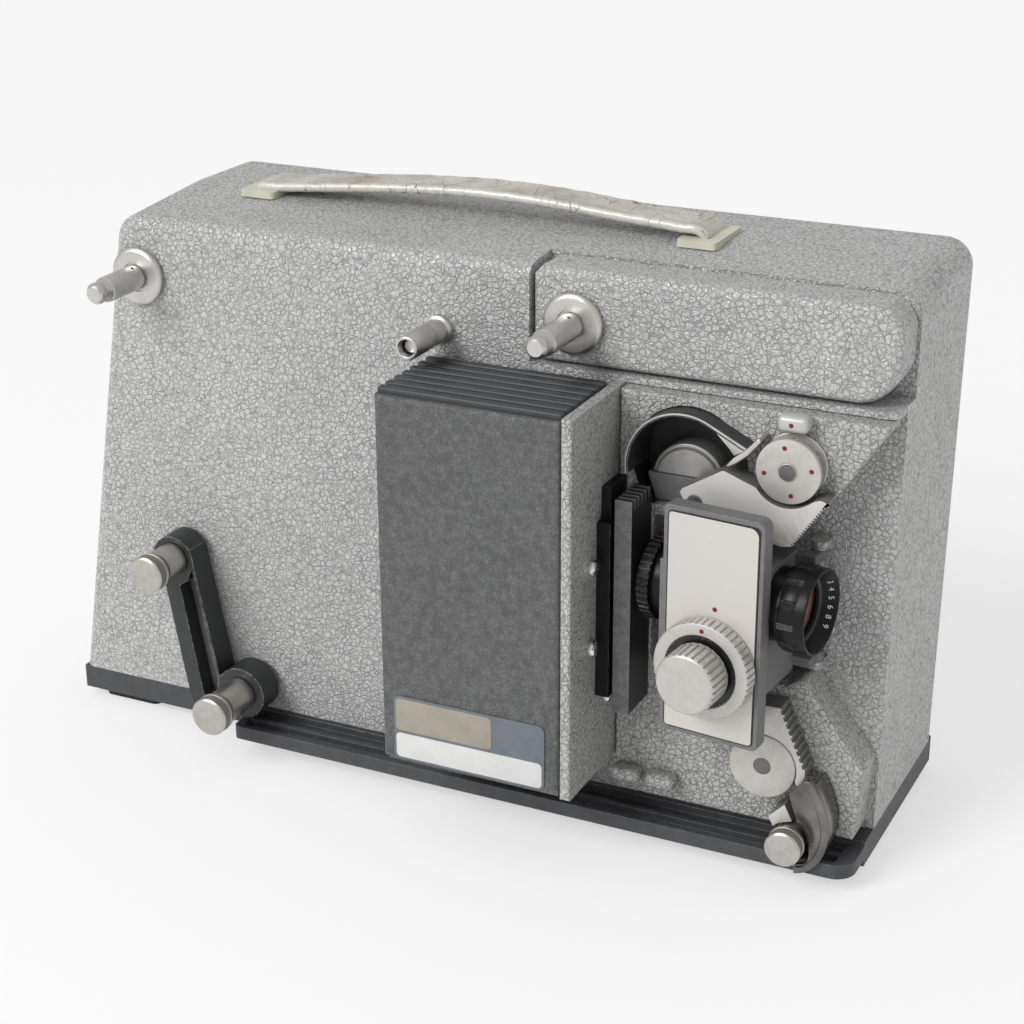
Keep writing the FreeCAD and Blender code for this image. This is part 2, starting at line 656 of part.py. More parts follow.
def lower_film_guide():
    """The shoe over the lower sprocket: a round plate with a ribbed shoulder."""
    x, z = c.lower_x, c.lower_z
    disc = rod("lower_guide_disc", (x, -c.guide_front - 0.8, z), 15.6, 2.2)
    front = -c.guide_front - 0.8
    shoulder = outline("lower_guide_shoulder",
                       [(x - 3, z + 15.2), (x - 3, z + 30.6), (x + 7.4, z + 30.6), (x + 17.4, z + 12),
                        (x + 20, z - 1), (x + 16, z - 6.5), (x + 12, z + 9)],
                       -c.deck_front - 0.8, front)
    ribs = []
    count = 9
    for k in range(count):
        part = (k + 0.5) / count
        place = (x + 8.2 + 11.6 * part, front, z + 29 - 27.5 * part)
        ribs.append(rod("lower_guide_rib_%d" % k, place, 1.1, 11))
    bore = rod("lower_guide_bore", (x, -40, z), c.post_r + c.running, 60)
    room = rod("lower_guide_room", (x, -c.guide_front + 1.4, z), c.disc_r + 0.4, 20)
    return node("lower_film_guide",
                cut("lower_film_guide", fuse("lower_guide_whole", disc, shoulder, *ribs), bore, room))


def exit_guide():
    """The curved arm and the small shoe that lead the film to the exit roller.

    The arm is a front plate with a thick wall behind its outer edge, down to the ledge.
    """
    x, z = c.exit_x, c.exit_z

    def around(points):
        return [(x + right, z + up) for right, up in points]

    face = around([(5.7, 31.8), (9.5, 32.4), (12.7, 27.5), (15.3, 21.5), (17.6, 14.5), (18.5, 8), (18, 1.5),
                   (16, -5), (12.5, -10.2), (7.7, -14), (3.2, -15.4), (3.7, -11.6), (7.9, -9), (9.7, -5),
                   (9.5, 0), (7.7, 5.5), (4.3, 10.2), (1.7, 16), (-0.3, 22.8)])
    wall = around([(10.7, 30), (12.7, 27.5), (15.3, 21.5), (17.6, 14.5), (18.5, 8), (18, 1.5), (16.7, -3),
                   (14.7, -7.8), (10.5, -7.8), (12.6, -3.5), (14.3, 2), (14.9, 8), (14, 14), (11.9, 20.5),
                   (9.6, 26)])
    plate = outline("exit_face", face, -22.3, -25)
    side = outline("exit_wall", wall, -c.deck_front, -22.4)
    node("exit_guide_arm", fuse("exit_guide_arm", plate, side))
    shoe = outline("exit_shoe", around([(-10.5, 9.3), (-3.1, 16.9), (0.9, 9), (-4.9, 7.4), (-8.3, 4.5)]),
                   -c.deck_front, -22)
    PIVOTS.append(rod("exit_roller_pin", (x, -27, z), c.pin_r, 27 + c.bay_deep))
    return shoe


def roller(label, x, z, back, front, radius, bore_r):
    """A film roller with a knurled cap, on a pin that ends inside the cap."""
    cap = rod(label + "_cap", (x, front, z), radius, 6.5)
    waist = rod(label + "_waist", (x, front + 6.5, z), radius - 2.2, 2.4)
    drum = rod(label + "_drum", (x, front + 8.9, z), radius - 1.2, back - front - 8.9)
    bore = rod(label + "_bore", (x, front + 5, z), bore_r + c.running, 60)
    return node(label, cut(label, fuse(label + "_whole", cap, waist, drum), bore))


def tension_arm():
    """The sprung channel lever with its two rollers, and the fixed post it swings on.

    The lever stands to the left of the lower roller, so it has a foot that reaches back to the post.
    """
    x, z = c.tension_x, c.tension_z
    top_x, top_z = c.tension_top_x, c.tension_top_z
    back, front = -3, -17.5
    collar = rod("tension_collar", (x, -2.7, z), 9, 2.7)
    post = rod("tension_post_rod", (x, -41.5, z), c.post_r, 47.5)
    PIVOTS.append(fuse("tension_post", post, collar))
    beam = outline("tension_beam", [(x - 29.5, z - 12.5), (x - 8, z - 12.5), (x - 25.2, z + 73.5),
                                    (x - 34, z + 77), (x - 43.5, z + 66)],
                   back, front, rounds=[(4, [0, 1])])
    channel = outline("tension_channel", [(x - 22, z - 6), (x - 10.7, z - 6), (x - 25.1, z + 66),
                                          (x - 26.3, z + 66), (x - 26.9, z + 57), (x - 32.5, z + 53.5)],
                      -8, front - 1)
    lower_boss = rod("tension_lower_boss", (x, front, z), 13.5, back - front)
    upper_boss = rod("tension_upper_boss", (top_x, front, top_z), 11.5, back - front)
    pin = rod("tension_roller_pin", (top_x, -36, top_z), c.pin_r, 30)
    frame = fuse("tension_frame", cut("tension_beam_hollow", beam, channel), lower_boss, upper_boss, pin)
    bore = rod("tension_bore", (x, -60, z), c.post_r + c.running, 80)
    node("tension_lever", cut("tension_lever", frame, bore))
    roller("lower_roller", x, z, -18, -47, 9.9, c.post_r)
    roller("upper_roller", top_x, top_z, -18, -42, 9.6, c.pin_r)


# Lamp house

def lamp_cover():
    """The swinging front of the lamp house: panel, left wall and floor, on a hinge knuckle."""
    left, right = c.lamp_left, c.lamp_right
    low, high = c.lamp_low, c.lamp_high
    front = -c.lamp_reach
    panel = box("lamp_panel", (left, front, low), (right, front + c.wall, high))
    side = box("lamp_side", (left, front, low), (left + c.wall, c.lamp_hinge_y, high))
    floor = box("lamp_floor", (left + c.wall, front, low), (right, c.lamp_hinge_y + c.wall, low + c.wall))
    knuckle = rod("lamp_knuckle", (left + c.wall, c.lamp_hinge_y, low), c.wall, high - low, UPRIGHT)
    blank = soften("lamp_shell", fuse("lamp_shell_sharp", panel, side), 2.2,
                   lambda e: e.BoundBox.YMax < number(front) + 0.01)
    pin_bore = rod("lamp_pin_bore", (left + c.wall, c.lamp_hinge_y, low - 1), 1.2 + c.running,
                   high - low + 2, UPRIGHT)
    slots = [box("lamp_floor_slot_%d" % k, (left + 14, front + 10 + 9 * k, low - 1),
                 (right - 10, front + 14 + 9 * k, low + c.wall + 1)) for k in range(5)]
    node("lamp_cover", cut("lamp_cover", fuse("lamp_cover_whole", blank, floor, knuckle), pin_bore, *slots))
    bars = [box("rib_rail_left", (left + 0.5, front + 2, high), (left + c.wall, -7.5, high + 2)),
            box("rib_rail_right", (right - 3, front + 2, high), (right - 0.3, -7.5, high + 2))]
    for k in range(7):
        back = -7.5 - 7.4 * k
        bars.append(box("rib_%d" % k, (left + 0.5, back - 3, high), (right - 0.3, back, high + 3)))
    node("cooling_ribs", fuse("cooling_ribs", *bars))
    plate = box("name_plate_block", (left + 6.3, front - 1, low + 1), (right - 6.7, front, low + 33.3))
    node("name_plate", soften("name_plate", plate, 4, lambda e: abs(e.BoundBox.YLength - 1) < 0.01))


def lamp_hinge():
    """The fixed hinge of the lamp cover: a pin between two brackets on the front face."""
    x, y = c.lamp_left + c.wall, c.lamp_hinge_y
    low, high = c.lamp_low, c.lamp_high
    pin = rod("hinge_pin_rod", (x, y, low - 4), 1.2, high - low + 5.5, UPRIGHT)
    lower = box("hinge_lower", (x - 3, y - 2.5, low - 4), (x + 3, 0, low - 0.4))
    upper = box("hinge_upper", (x - 3, y + 2, high + 0.4), (x + 3, 0, high + 1.5))
    upper_eye = rod("hinge_upper_eye", (x, y, high + 0.4), 2.2, 1.1, UPRIGHT)
    return fuse("lamp_hinge", pin, lower, upper, upper_eye)


def lamp_house_wall():
    wall = box("house_wall_block", (c.lamp_right + 0.2, -c.lamp_reach, c.lamp_low - 2),
               (c.lamp_right + 5.2, 0, c.lamp_high + 1.5))
    eased = soften("house_wall_eased", wall, 1.5, lambda e: e.BoundBox.YMax < -50)
    light = rod("house_wall_hole", (c.lamp_right - 1, c.optic_y, c.optic_z), 10, 10, ALONG_X)
    return node("lamp_house_wall", cut("lamp_house_wall", eased, light))


def lamp_parts():
    """The lamp in its reflector, its socket on a bracket, and the condenser in its ring."""
    y, z = c.optic_y, c.optic_z
    left = c.lamp_left
    bracket = box("socket_bracket", (left + 7.5, y - 6, z - 26), (left + 13.5, 0, z + 26))
    holder = rod("socket_holder", (left + 13.5, y, z), 9, 9.5, ALONG_X)
    node("lamp_socket", fuse("lamp_socket", bracket, holder))
    outer = taper("reflector_outside", (left + 23, y, z), 9, 24, 18, ALONG_X)
    inner = taper("reflector_inside", (left + 23, y, z), 7.8, 22.8, 18, ALONG_X)
    seat = ring("reflector_seat", (left + 23, y, z), 8.5, 5, 2, ALONG_X)
    node("lamp_reflector", fuse("lamp_reflector", cut("reflector_bowl", outer, inner), seat))
    stem = rod("lamp_stem", (left + 23, y, z), 5, 10, ALONG_X)
    bulb = doc.addObject("Part::Sphere", "lamp_bulb")
    bulb.Radius = 8
    put(bulb, (left + 38, y, z))
    node("lamp", fuse("lamp", stem, bulb))
    mount = ring("condenser_ring", (left + 69, y, z), 18, 15, 9, ALONG_X)
    strap = box("condenser_strap", (left + 71, -3, z + 10), (left + 76, 0, c.lamp_high - 7))
    node("condenser_holder", fuse("condenser_holder", mount, strap))
    glass = rod("condenser_glass", (left + 71, y, z), 15, 5, ALONG_X)
    node("condenser_lens", glass)


# Gate

def gate():
    """The film gate, its bracket on the lamp house wall and the screws beside it."""
    left = c.lamp_right + 5.2
    y, z = c.optic_y, c.optic_z
    face = -c.deck_front
    lower = box("bracket_lower", (left, -31, z - 57), (left + 6.5, face, z + 27.5))
    upper = box("bracket_upper", (left, -26, z + 27.5), (left + 4.5, face, z + 42.5))
    light = rod("bracket_hole", (left - 1, y, z), 5, 10, ALONG_X)
    node("gate_bracket", cut("gate_bracket", fuse("bracket_whole", lower, upper), light))
    front = c.gate_x - 15
    block = box("gate_block", (front, -31, z - 63.5), (front + 8, face, z + 35))
    ribs = [box("gate_rib_%d" % k, (front, -31 + 4 * k, z + 35), (front + 8, -29 + 4 * k, z + 39.5))
            for k in range(6)]
    aperture = box("gate_aperture", (front - 1, y - 2.3, z - 1.7), (front + 9, y + 2.3, z + 1.7))
    node("film_gate", cut("film_gate", fuse("gate_whole", block, *ribs), aperture))
    screws = []
    for k, (at_y, at_z) in enumerate(((-38, z + 8.5), (-38, z - 30.5), (-20, z - 61.5))):
        head = rod("gate_screw_head_%d" % k, (left, at_y, at_z), 3.8, 3.6, ALONG_X)
        slot = box("gate_screw_slot_%d" % k, (left + 2.4, at_y - 4, at_z - 0.5),
                   (left + 4, at_y + 4, at_z + 0.5))
        screws.append(cut("gate_screw_%d" % k, head, slot))
    return screws


# Lens carrier: drawn along the case, then turned by toe_out about the film plane

def turned_back(x, y):
    """A place in the case's frame as the carrier's own frame has it, before the turn."""
    turn = math.radians(c.toe_out.value)
    dx, dy = x - c.gate_x.value, y - c.optic_y.value
    return (c.gate_x.value + dx * math.cos(turn) - dy * math.sin(turn),
            c.optic_y.value + dx * math.sin(turn) + dy * math.cos(turn))


def lens_carrier():
    """The hinged lens door: a rimmed front plate with the lens's box behind it."""
    left, right = c.carrier_left, c.carrier_right
    low, high = c.carrier_low, c.carrier_high
    front = -c.carrier_front
    plate = outline("carrier_plate", [(left, low), (right, low), (right, high), (left, high)],
                    front + 8, front, rounds=[(4, [2]), (2, [0, 1, 3])])
    back_room = box("carrier_back_room", (left + 2, front + 2, low + 2), (right - 2, front + 20, high - 2))
    rim = cut("carrier_rim", plate, back_room)
    box_low, box_high = c.optic_z - 39.9, c.optic_z + 18.9
    house = box("carrier_house", (left - 2, front + 1, box_low), (right - 3, 4, box_high))
    room = box("carrier_house_room", (left + 1, front + 2, box_low + 3), (right - 6, 20, box_high - 2))
    barrel = rod("carrier_bore", (left - 10, c.optic_y, c.optic_z), c.barrel_r + c.running, 60, ALONG_X)
    sleeve = rod("carrier_sleeve", (c.knob_x, front - 8.6, c.knob_z), 6, 9.6)
    shaft_room = rod("carrier_shaft_bore", (c.knob_x, front - 9, c.knob_z), c.post_r + c.running, 20)
    pin_x, pin_y = turned_back(c.hinge_x.value, c.hinge_y.value)
    lugs = []
    for k, lug_low in enumerate(CARRIER_LUGS):
        lug_high = lug_low + LUG_TALL
        lugs.append(rod("carrier_knuckle_%d" % k, (pin_x, pin_y, lug_low), 4, LUG_TALL, UPRIGHT))
        lugs.append(box("carrier_lug_side_%d" % k, (right - 6, 2, lug_low), (pin_x + 2.4, 6, lug_high)))
        lugs.append(box("carrier_lug_back_%d" % k, (pin_x - 3.6, 4, lug_low),
                        (pin_x + 2.4, pin_y, lug_high)))
    pin_bore = rod("carrier_pin_bore", (pin_x, pin_y, 50), 2 + c.running, 150, UPRIGHT)
    shell = cut("carrier_shell", fuse("carrier_whole", rim, house, sleeve), room)
    return node("lens_carrier", cut("lens_carrier", fuse("carrier_with_lugs", shell, *lugs), barrel,
                                    shaft_room, pin_bore), toed=True)


def carrier_hinge():
    """The fixed pin of the lens carrier between two lugs on the bay's rear wall."""
    x, y = c.hinge_x, c.hinge_y
    low, high = CARRIER_LUGS[0] - 3.8, CARRIER_LUGS[1] + LUG_TALL + 4.3
    pin = rod("carrier_pin", (x, y, low), 2, high - low, UPRIGHT)
    lugs = []
    for k, lug_low in enumerate((low, high - 4)):
        lug_high = lug_low + (3.5 if k == 0 else 4)
        lugs.append(box("fixed_lug_%d" % k, (x - 4, y, lug_low), (x + 4, c.bay_deep, lug_high)))
        lugs.append(rod("fixed_knuckle_%d" % k, (x, y, lug_low), 4, lug_high - lug_low, UPRIGHT))
    return fuse("carrier_hinge", pin, *lugs)


def carrier_face_plate():
    left, right = c.carrier_left + 2.5, c.carrier_right - 2.5
    plate = outline("face_plate_sheet", [(left, c.carrier_low + 2.5), (right, c.carrier_low + 2.5),
                                         (right, c.carrier_high - 3), (left, c.carrier_high - 3)],
                    -c.carrier_front, -c.carrier_front - 0.6, rounds=[(4, [2]), (1.5, [0, 1, 3])])
    hole = rod("face_plate_hole", (c.knob_x, -c.carrier_front - 5, c.knob_z), 6, 10)
    return node("carrier_face_plate", cut("carrier_face_plate", plate, hole), toed=True)


def framing_ring():
    """The big ring round the focus knob that moves the frame line."""
    y = -c.carrier_front - 9
    wheel = rod("framing_wheel", (c.knob_x, y, c.knob_z), c.ring_r, 8.1)
    dish = ring("framing_dish", (c.knob_x, y - 1, c.knob_z), c.knob_r + 3, c.knob_r + 0.6, 2.4)
    bore = rod("framing_bore", (c.knob_x, y - 2, c.knob_z), 6 + c.running, 12)
    return node("framing_ring", cut("framing_ring", wheel, dish, bore), toed=True)


def focus_knob():
    """The focus knob on its shaft, with the friction wheel that drives the lens barrel above it."""
    y = -c.carrier_front - 24
    knob = rod("focus_cap", (c.knob_x, y, c.knob_z), c.knob_r, 14.7)
    eased = soften("focus_cap_eased", knob, 1.2, lambda e: e.BoundBox.YMax < number(y) + 0.01)
    shaft = rod("focus_shaft", (c.knob_x, y + 10, c.knob_z), c.post_r, 42)
    wheel_r = c.optic_z - c.knob_z - c.barrel_r - c.running
    wheel = rod("focus_wheel", (c.knob_x, c.optic_y - 4, c.knob_z), wheel_r, 8)
    return node("focus_knob", fuse("focus_knob", eased, shaft, wheel), toed=True)


def lens():
    """The projection lens: barrel, front ring, rear ring and two glasses."""
    y, z = c.optic_y, c.optic_z
    start, end = c.gate_x + 4, c.carrier_right + 3.5
    body = rod("barrel_body", (start, y, z), c.barrel_r, end - start, ALONG_X)
    front = rod("barrel_front", (end, y, z), c.lens_ring_r, 13.5, ALONG_X)
    flare = taper("barrel_flare", (end + 6.5, y, z), 14.2, 17.4, 7.1, ALONG_X)
    bore = rod("barrel_hollow", (start - 1, y, z), 14.2, end - start + 20, ALONG_X)
    node("lens_barrel", cut("lens_barrel", fuse("barrel_whole", body, front), bore, flare), toed=True)
    rear = ring("rear_lens_ring", (start - 6, y, z), c.lens_ring_r, 12.4, 6, ALONG_X)
    node("rear_lens_ring", rear, toed=True)
    glasses = [rod("rear_glass", (start - 5, y, z), 12.4, 4, ALONG_X),
               rod("front_glass", (end + 2, y, z), 14.2, 4.5, ALONG_X)]
    node("lens_glass", group("lens_glass", *glasses), toed=True)


# Drive

def frame_plate():
    """The upright steel plate that carries the drive, with the shutter shaft's two bearings."""
    low, high = c.case_foot, c.optic_z + 74
    plate = box("frame_sheet", (FRAME_LEFT, FRAME_FACE - 2.5, low), (FRAME_RIGHT, FRAME_FACE, high))
    foot = box("frame_foot", (FRAME_LEFT, FRAME_FACE - 2.5, low), (FRAME_RIGHT, FRAME_FACE + 12, low + 2.5))
    bearings = [box("shaft_bearing_%d" % k, (x, FRAME_FACE - 1, c.optic_z - 9),
                    (x + 7, c.shaft_y + 6, c.optic_z + 9))
                for k, x in enumerate((c.lamp_left + 25, c.lamp_right + 42))]
    shutter_slot = box("shutter_slot", (c.shutter_x - 6, 0, c.optic_z - c.shutter_r - 4),
                       (c.shutter_x + 7, 60, c.optic_z + c.shutter_r + 4))
    shaft = rod("frame_shaft_bore", (c.lamp_left - 20, c.shaft_y, c.optic_z), 3 + c.running, 220, ALONG_X)
    holes = [rod("frame_bore_%d" % k, (x, 0, z), c.post_r + c.running, 60)
             for k, (x, z) in enumerate(((c.upper_x, c.upper_z), (c.lower_x, c.lower_z)))]
    cross = rod("frame_cross_bore", (c.cross_x, 0, c.cross_z), 3 + c.running, 60)
    duct = box("frame_duct", (c.lamp_left + 12, 0, c.lamp_low + 20), (c.shutter_x - 8, 60, c.optic_z - 12))
    lightening = rod("frame_window", (175, 0, 170), 22, 60)
    belt_room = box("frame_belt_room", (c.motor_x + 82, 0, c.optic_z - 20),
                    (c.motor_x + 98, 60, c.optic_z + 20))
    whole = fuse("frame_whole", plate, foot, *bearings)
    return node("frame_plate", cut("frame_plate", whole, shutter_slot, shaft, cross, duct,
                                   belt_room, lightening, *holes))


def motor():
    """The mains motor with its rotor, fan and belt pulley on one shaft along X."""
    y, z = c.motor_y, c.motor_z
    left, right = c.motor_x, c.motor_x + 56
    core = box("stator_core", (left, y - 28, z - 28), (right, y + 28, z + 28))
    bore = rod("stator_bore", (left - 1, y, z), 20.4, 58, ALONG_X)
    caps = [box("motor_cap_%d" % k, (x, y - 28, z - 28), (x + 3, y + 28, z + 28))
            for k, x in enumerate((left - 3, right))]
    shaft_bore = rod("motor_shaft_bore", (left - 20, y, z), 3 + c.running, 120, ALONG_X)
    legs = [box("motor_leg_%d" % k, (x, y - 22, c.case_foot), (x + 4, y + 22, z - 28))
            for k, x in enumerate((left, right - 4))]
    stator = cut("stator_hollow", core, bore)
    node("motor_frame", cut("motor_frame", fuse("motor_whole", stator, *(caps + legs)), shaft_bore))
    rotor = rod("rotor_core", (left + 3, y, z), 19.8, 50, ALONG_X)
    shaft = rod("rotor_shaft", (left - 12, y, z), 3, 107, ALONG_X)
    pulley = belt_wheel("motor_pulley", right + 31, y, z, c.motor_pulley_r)
    node("motor_rotor", fuse("motor_rotor", rotor, shaft, pulley))
    hub = ring("fan_hub", (right + 8, y, z), 8, 3, 16, ALONG_X)
    blades = []
    count = 8
    first = 16
    for k in range(count):
        blade = doc.addObject("Part::Box", "fan_blade_%d" % k)
        blade.Length, blade.Width, blade.Height = 14, 1.4, 24
        turn = FreeCAD.Rotation(V(1, 0, 0), first + 360 * k / count)
        tilt = FreeCAD.Rotation(V(0, 0, 1), 12)
        root = V(number(right) + 9, y.value, z.value) + turn.multVec(V(0, 0, 6.5))
        blade.Placement = FreeCAD.Placement(root, turn * tilt)
        blades.append(blade)
    rim = ring("fan_rim", (right + 8, y, z), 31, 29.6, 4, ALONG_X)
    node("cooling_fan", fuse("cooling_fan", hub, rim, *blades, refine=False))


def belt_wheel(name, x, y, z, radius):
    """A grooved belt pulley along X, 6 wide."""
    wheel = rod(name + "_core", (x, y, z), radius, 6, ALONG_X)
    rims = [rod("%s_rim_%d" % (name, k), (at, y, z), radius + 2.5, 1, ALONG_X)
            for k, at in enumerate((x, x + 5))]
    return fuse(name, wheel, *rims)


def belt(name, first, second, first_r, second_r, spot, along):
    """A closed belt round two wheels: spot turns a flat (u, v) into a place, along is its width."""
    (u1, v1), (u2, v2) = first, second
    span = math.hypot(u2 - u1, v2 - v1)
    lean = math.acos((first_r - second_r) / span)
    heading = math.atan2(v2 - v1, u2 - u1)

    def loop(extra):
        def rim(u, v, radius, turn):
            return spot(u + radius * math.cos(turn), v + radius * math.sin(turn))

        r1, r2 = first_r + extra, second_r + extra
        ends = [rim(u1, v1, r1, heading + lean), rim(u1, v1, r1, heading - lean),
                rim(u2, v2, r2, heading - lean), rim(u2, v2, r2, heading + lean)]
        far1 = rim(u1, v1, r1, heading + math.pi)
        far2 = rim(u2, v2, r2, heading)
        return Part.Wire([Part.Arc(ends[0], far1, ends[1]).toShape(),
                          Part.LineSegment(ends[1], ends[2]).toShape(),
                          Part.Arc(ends[2], far2, ends[3]).toShape(),
                          Part.LineSegment(ends[3], ends[0]).toShape()])

    band = doc.addObject("Part::Feature", name)
    band.Shape = Part.Face(loop(BELT_THICK)).extrude(along).cut(Part.Face(loop(0)).extrude(along))
    return band


def shutter():
    """The shutter shaft with its belt pulley and worm, and the two-bladed shutter on it."""
    y, z = c.shaft_y, c.optic_z
    pulley_x = c.motor_x + 87
    shaft = rod("shutter_rod", (pulley_x - 4, y, z), 3, c.lamp_right + 58 - pulley_x, ALONG_X)
    pulley = belt_wheel("shutter_pulley", pulley_x, y, z, c.motor_pulley_r / 0.72)
    worm = rod("shutter_worm", (c.cross_x - 9, y, z), 5, 18, ALONG_X)
    grooves = [ring("worm_groove_%d" % k, (c.cross_x - 7.5 + 2.6 * k, y, z), 6, 4.1, 1.1, ALONG_X)
               for k in range(6)]
    node("shutter_shaft", fuse("shutter_shaft", shaft, pulley, cut("worm_cut", worm, *grooves)))
    disc = rod("shutter_blank", (c.shutter_x, y, z), c.shutter_r, 1.2, ALONG_X)
    hub = rod("shutter_hub", (c.shutter_x - 4, y, z), 7, 9, ALONG_X)
    windows = []
    for k in range(2):
        turn = FreeCAD.Rotation(V(1, 0, 0), 180 * k)
        window = doc.addObject("Part::Wedge", "shutter_window_%d" % k)
        window.Xmin, window.Xmax, window.X2min, window.X2max = 0, 10, 0, 10
        window.Ymin, window.Ymax = 0, c.shutter_r.value + 5
        window.Zmin, window.Zmax = -6, 6
        window.Z2min, window.Z2max = -42, 42
        start = turn.multVec(V(0, 14, 0))
        window.Placement = FreeCAD.Placement(V(number(c.shutter_x) - 4, number(y), number(z)) + start, turn)
        windows.append(window)
    blades = cut("shutter_blades", disc, *windows)
    bore = rod("shutter_bore", (c.shutter_x - 10, y, z), 3, 20, ALONG_X)
    node("shutter_disc", cut("shutter_disc", fuse("shutter_whole", blades, hub), bore))


def cross_gear():
    """The worm wheel under the shutter shaft, on a cross shaft that drives both sprockets by belts."""
    x, z = c.cross_x, c.cross_z
    start = FRAME_FACE - 1.5
    shaft = rod("cross_rod", (x, start, z), 3, 27.5)
    wheel_r = c.optic_z - c.cross_z - 5.4
    wheel = rod("worm_wheel_rim", (x, c.shaft_y - 3, z), wheel_r, 6)
    notches = []
    teeth = 24
    for k in range(teeth):
        notch = doc.addObject("Part::Box", "wheel_notch_%d" % k)
        notch.Length, notch.Width, notch.Height = 1.7, 10, 2
        turn = FreeCAD.Rotation(V(0, 1, 0), 360 * k / teeth)
        notch.Placement = FreeCAD.Placement(V(x.value, c.shaft_y.value - 5, z.value)
                                            + turn.multVec(V(-0.85, 0, wheel_r.value - 1.3)), turn)
        notches.append(notch)
    pulleys = [rod("cross_pulley_%d" % k, (x, y, z), SPROCKET_PULLEY_R, 4.4)
               for k, y in enumerate(BELT_PLACES)]
    flange = rod("cross_flange", (x, BELT_PLACES[0] + 4.4, z), SPROCKET_PULLEY_R + 2, 0.8)
    node("cross_gear", fuse("cross_gear", shaft, cut("worm_wheel", wheel, *notches), flange, *pulleys))


def belts():
    """The round-trip belts: motor to shutter shaft, and cross shaft to each sprocket shaft."""
    motor_belt = belt("motor_belt_band", (c.motor_y.value, c.motor_z.value),
                      (c.shaft_y.value, c.optic_z.value), c.motor_pulley_r.value + BELT_GAP,
                      c.motor_pulley_r.value / 0.72 + BELT_GAP,
                      lambda u, v: V(c.motor_x.value + 88.3, u, v), V(3.4, 0, 0))
    loops = [motor_belt]
    for k, (x, z) in enumerate(((c.upper_x, c.upper_z), (c.lower_x, c.lower_z))):
        depth = BELT_PLACES[k] + 0.5
        loops.append(belt("sprocket_belt_%d" % k, (c.cross_x.value, c.cross_z.value), (x.value, z.value),
                          SPROCKET_PULLEY_R + BELT_GAP, SPROCKET_PULLEY_R + BELT_GAP,
                          lambda u, v, depth=depth: V(u, depth, v), V(0, 3.4, 0)))
    node("drive_belts", group("drive_belts", *loops))


def transformer():
    """The lamp's transformer: a three-limbed core with the coil on its middle limb."""
    left, front, low = c.transformer_x, 48, c.case_foot
    core = box("core_block", (left, front, low), (left + 65, front + 30, low + 54.5))
    windows = [box("core_window_%d" % k, (left + x, front - 5, low + 11.5),
                   (left + x + 14, front + 40, low + 42.5))
               for k, x in enumerate((11, 40))]
    node("transformer_core", cut("transformer_core", core, *windows))
    coil = box("coil_block", (left + 11.4, front - 8, low + 12), (left + 53.6, front + 38, low + 42))
    limb = box("coil_limb", (left + 25, front, low), (left + 40, front + 30, low + 60))
    front_room = box("coil_left", (left - 5, front, low), (left + 11.4, front + 30, low + 60))
    node("transformer_coil", cut("transformer_coil", coil, fuse("coil_rooms", limb, front_room)))


def rear_fittings():
    """The mains inlet and the power switch in the rear wall."""
    back = c.case_deep
    inlet_low, inlet_high = 37, 59
    flange = box("inlet_flange", (59, back, inlet_low - 3), (95, back + 1.6, inlet_high + 3))
    body = box("inlet_body", (62, back - 20, inlet_low), (92, back + 0.5, inlet_high))
    socket = box("inlet_socket", (66, back - 15, inlet_low + 4), (88, back + 3, inlet_high - 4))
    shell = cut("inlet_shell", fuse("inlet_whole", flange, body), socket)
    pins = [box("inlet_pin_%d" % k, (x, back - 16, z), (x + 1.6, back - 3, z + 4))
            for k, (x, z) in enumerate(((70, 45), (76.2, 48), (82.4, 45)))]
    node("mains_inlet", fuse("mains_inlet", shell, *pins))
    x, z = 119, c.switch_z
    plate = box("switch_plate", (x - 10, back, z - 12), (x + 10, back + 1.2, z + 12))
    sleeve = box("switch_sleeve", (x - 7.9, back - 14, z - 9.9), (x + 7.9, back + 0.5, z + 9.9))
    room = box("switch_room", (x - 6.4, back - 12, z - 8.4), (x + 6.4, back + 5, z + 8.4))
    bore = rod("switch_bore", (x - 7.2, back - 2.5, z), 1.2 + c.running, 14.4, ALONG_X)
    node("switch_frame", cut("switch_frame", fuse("switch_frame_whole", plate, sleeve), room, bore))
    rocker = box("rocker_block", (x - 6.1, back - 8, z - 6.8), (x + 6.1, back + 2, z + 6.8))
    crown = rod("rocker_crown", (x - 6.1, back - 4, z), 7.6, 12.2, ALONG_X)
    pivot = rod("rocker_pivot", (x - 7, back - 2.5, z), 1.2, 14, ALONG_X)
    node("power_switch", fuse("power_switch", rocker, crown, pivot))


# The whole machine

base_plate()
rubber_feet()
front_housing()
rear_cover()
handle()
feed_arm()
PIVOTS.append(arm_pivot())
reel_spindle("feed_spindle", c.feed_x, c.feed_z, c.feed_long, 18)
reel_spindle("takeup_spindle", c.takeup_x, c.takeup_z, c.takeup_long, 24)
storage_stub()
mechanism_deck()
film_loop_shroud()
film_loop_drum()
film_pin()
index_tab()
deck_film_blocks(exit_guide())
for place, x, z, disc in (("upper", c.upper_x, c.upper_z, True), ("lower", c.lower_x, c.lower_z, False)):
    sprocket(place + "_sprocket", x, z, SPROCKET_TEETH, disc)
upper_film_guide()
lower_film_guide()
roller("exit_roller", c.exit_x, c.exit_z, -12, -33, 8.5, c.pin_r)
tension_arm()
node("fixed_pivots", group("fixed_pivots", *PIVOTS))
lamp_cover()
lamp_house_wall()
lamp_parts()
node("screws", group("screws", *(gate() + cover_screws())))
lens_carrier()
node("cover_hinges", group("cover_hinges", lamp_hinge(), carrier_hinge()))
carrier_face_plate()
framing_ring()
focus_knob()
lens()
frame_plate()
motor()
shutter()
cross_gear()
belts()
transformer()
rear_fittings()
doc.recompute()

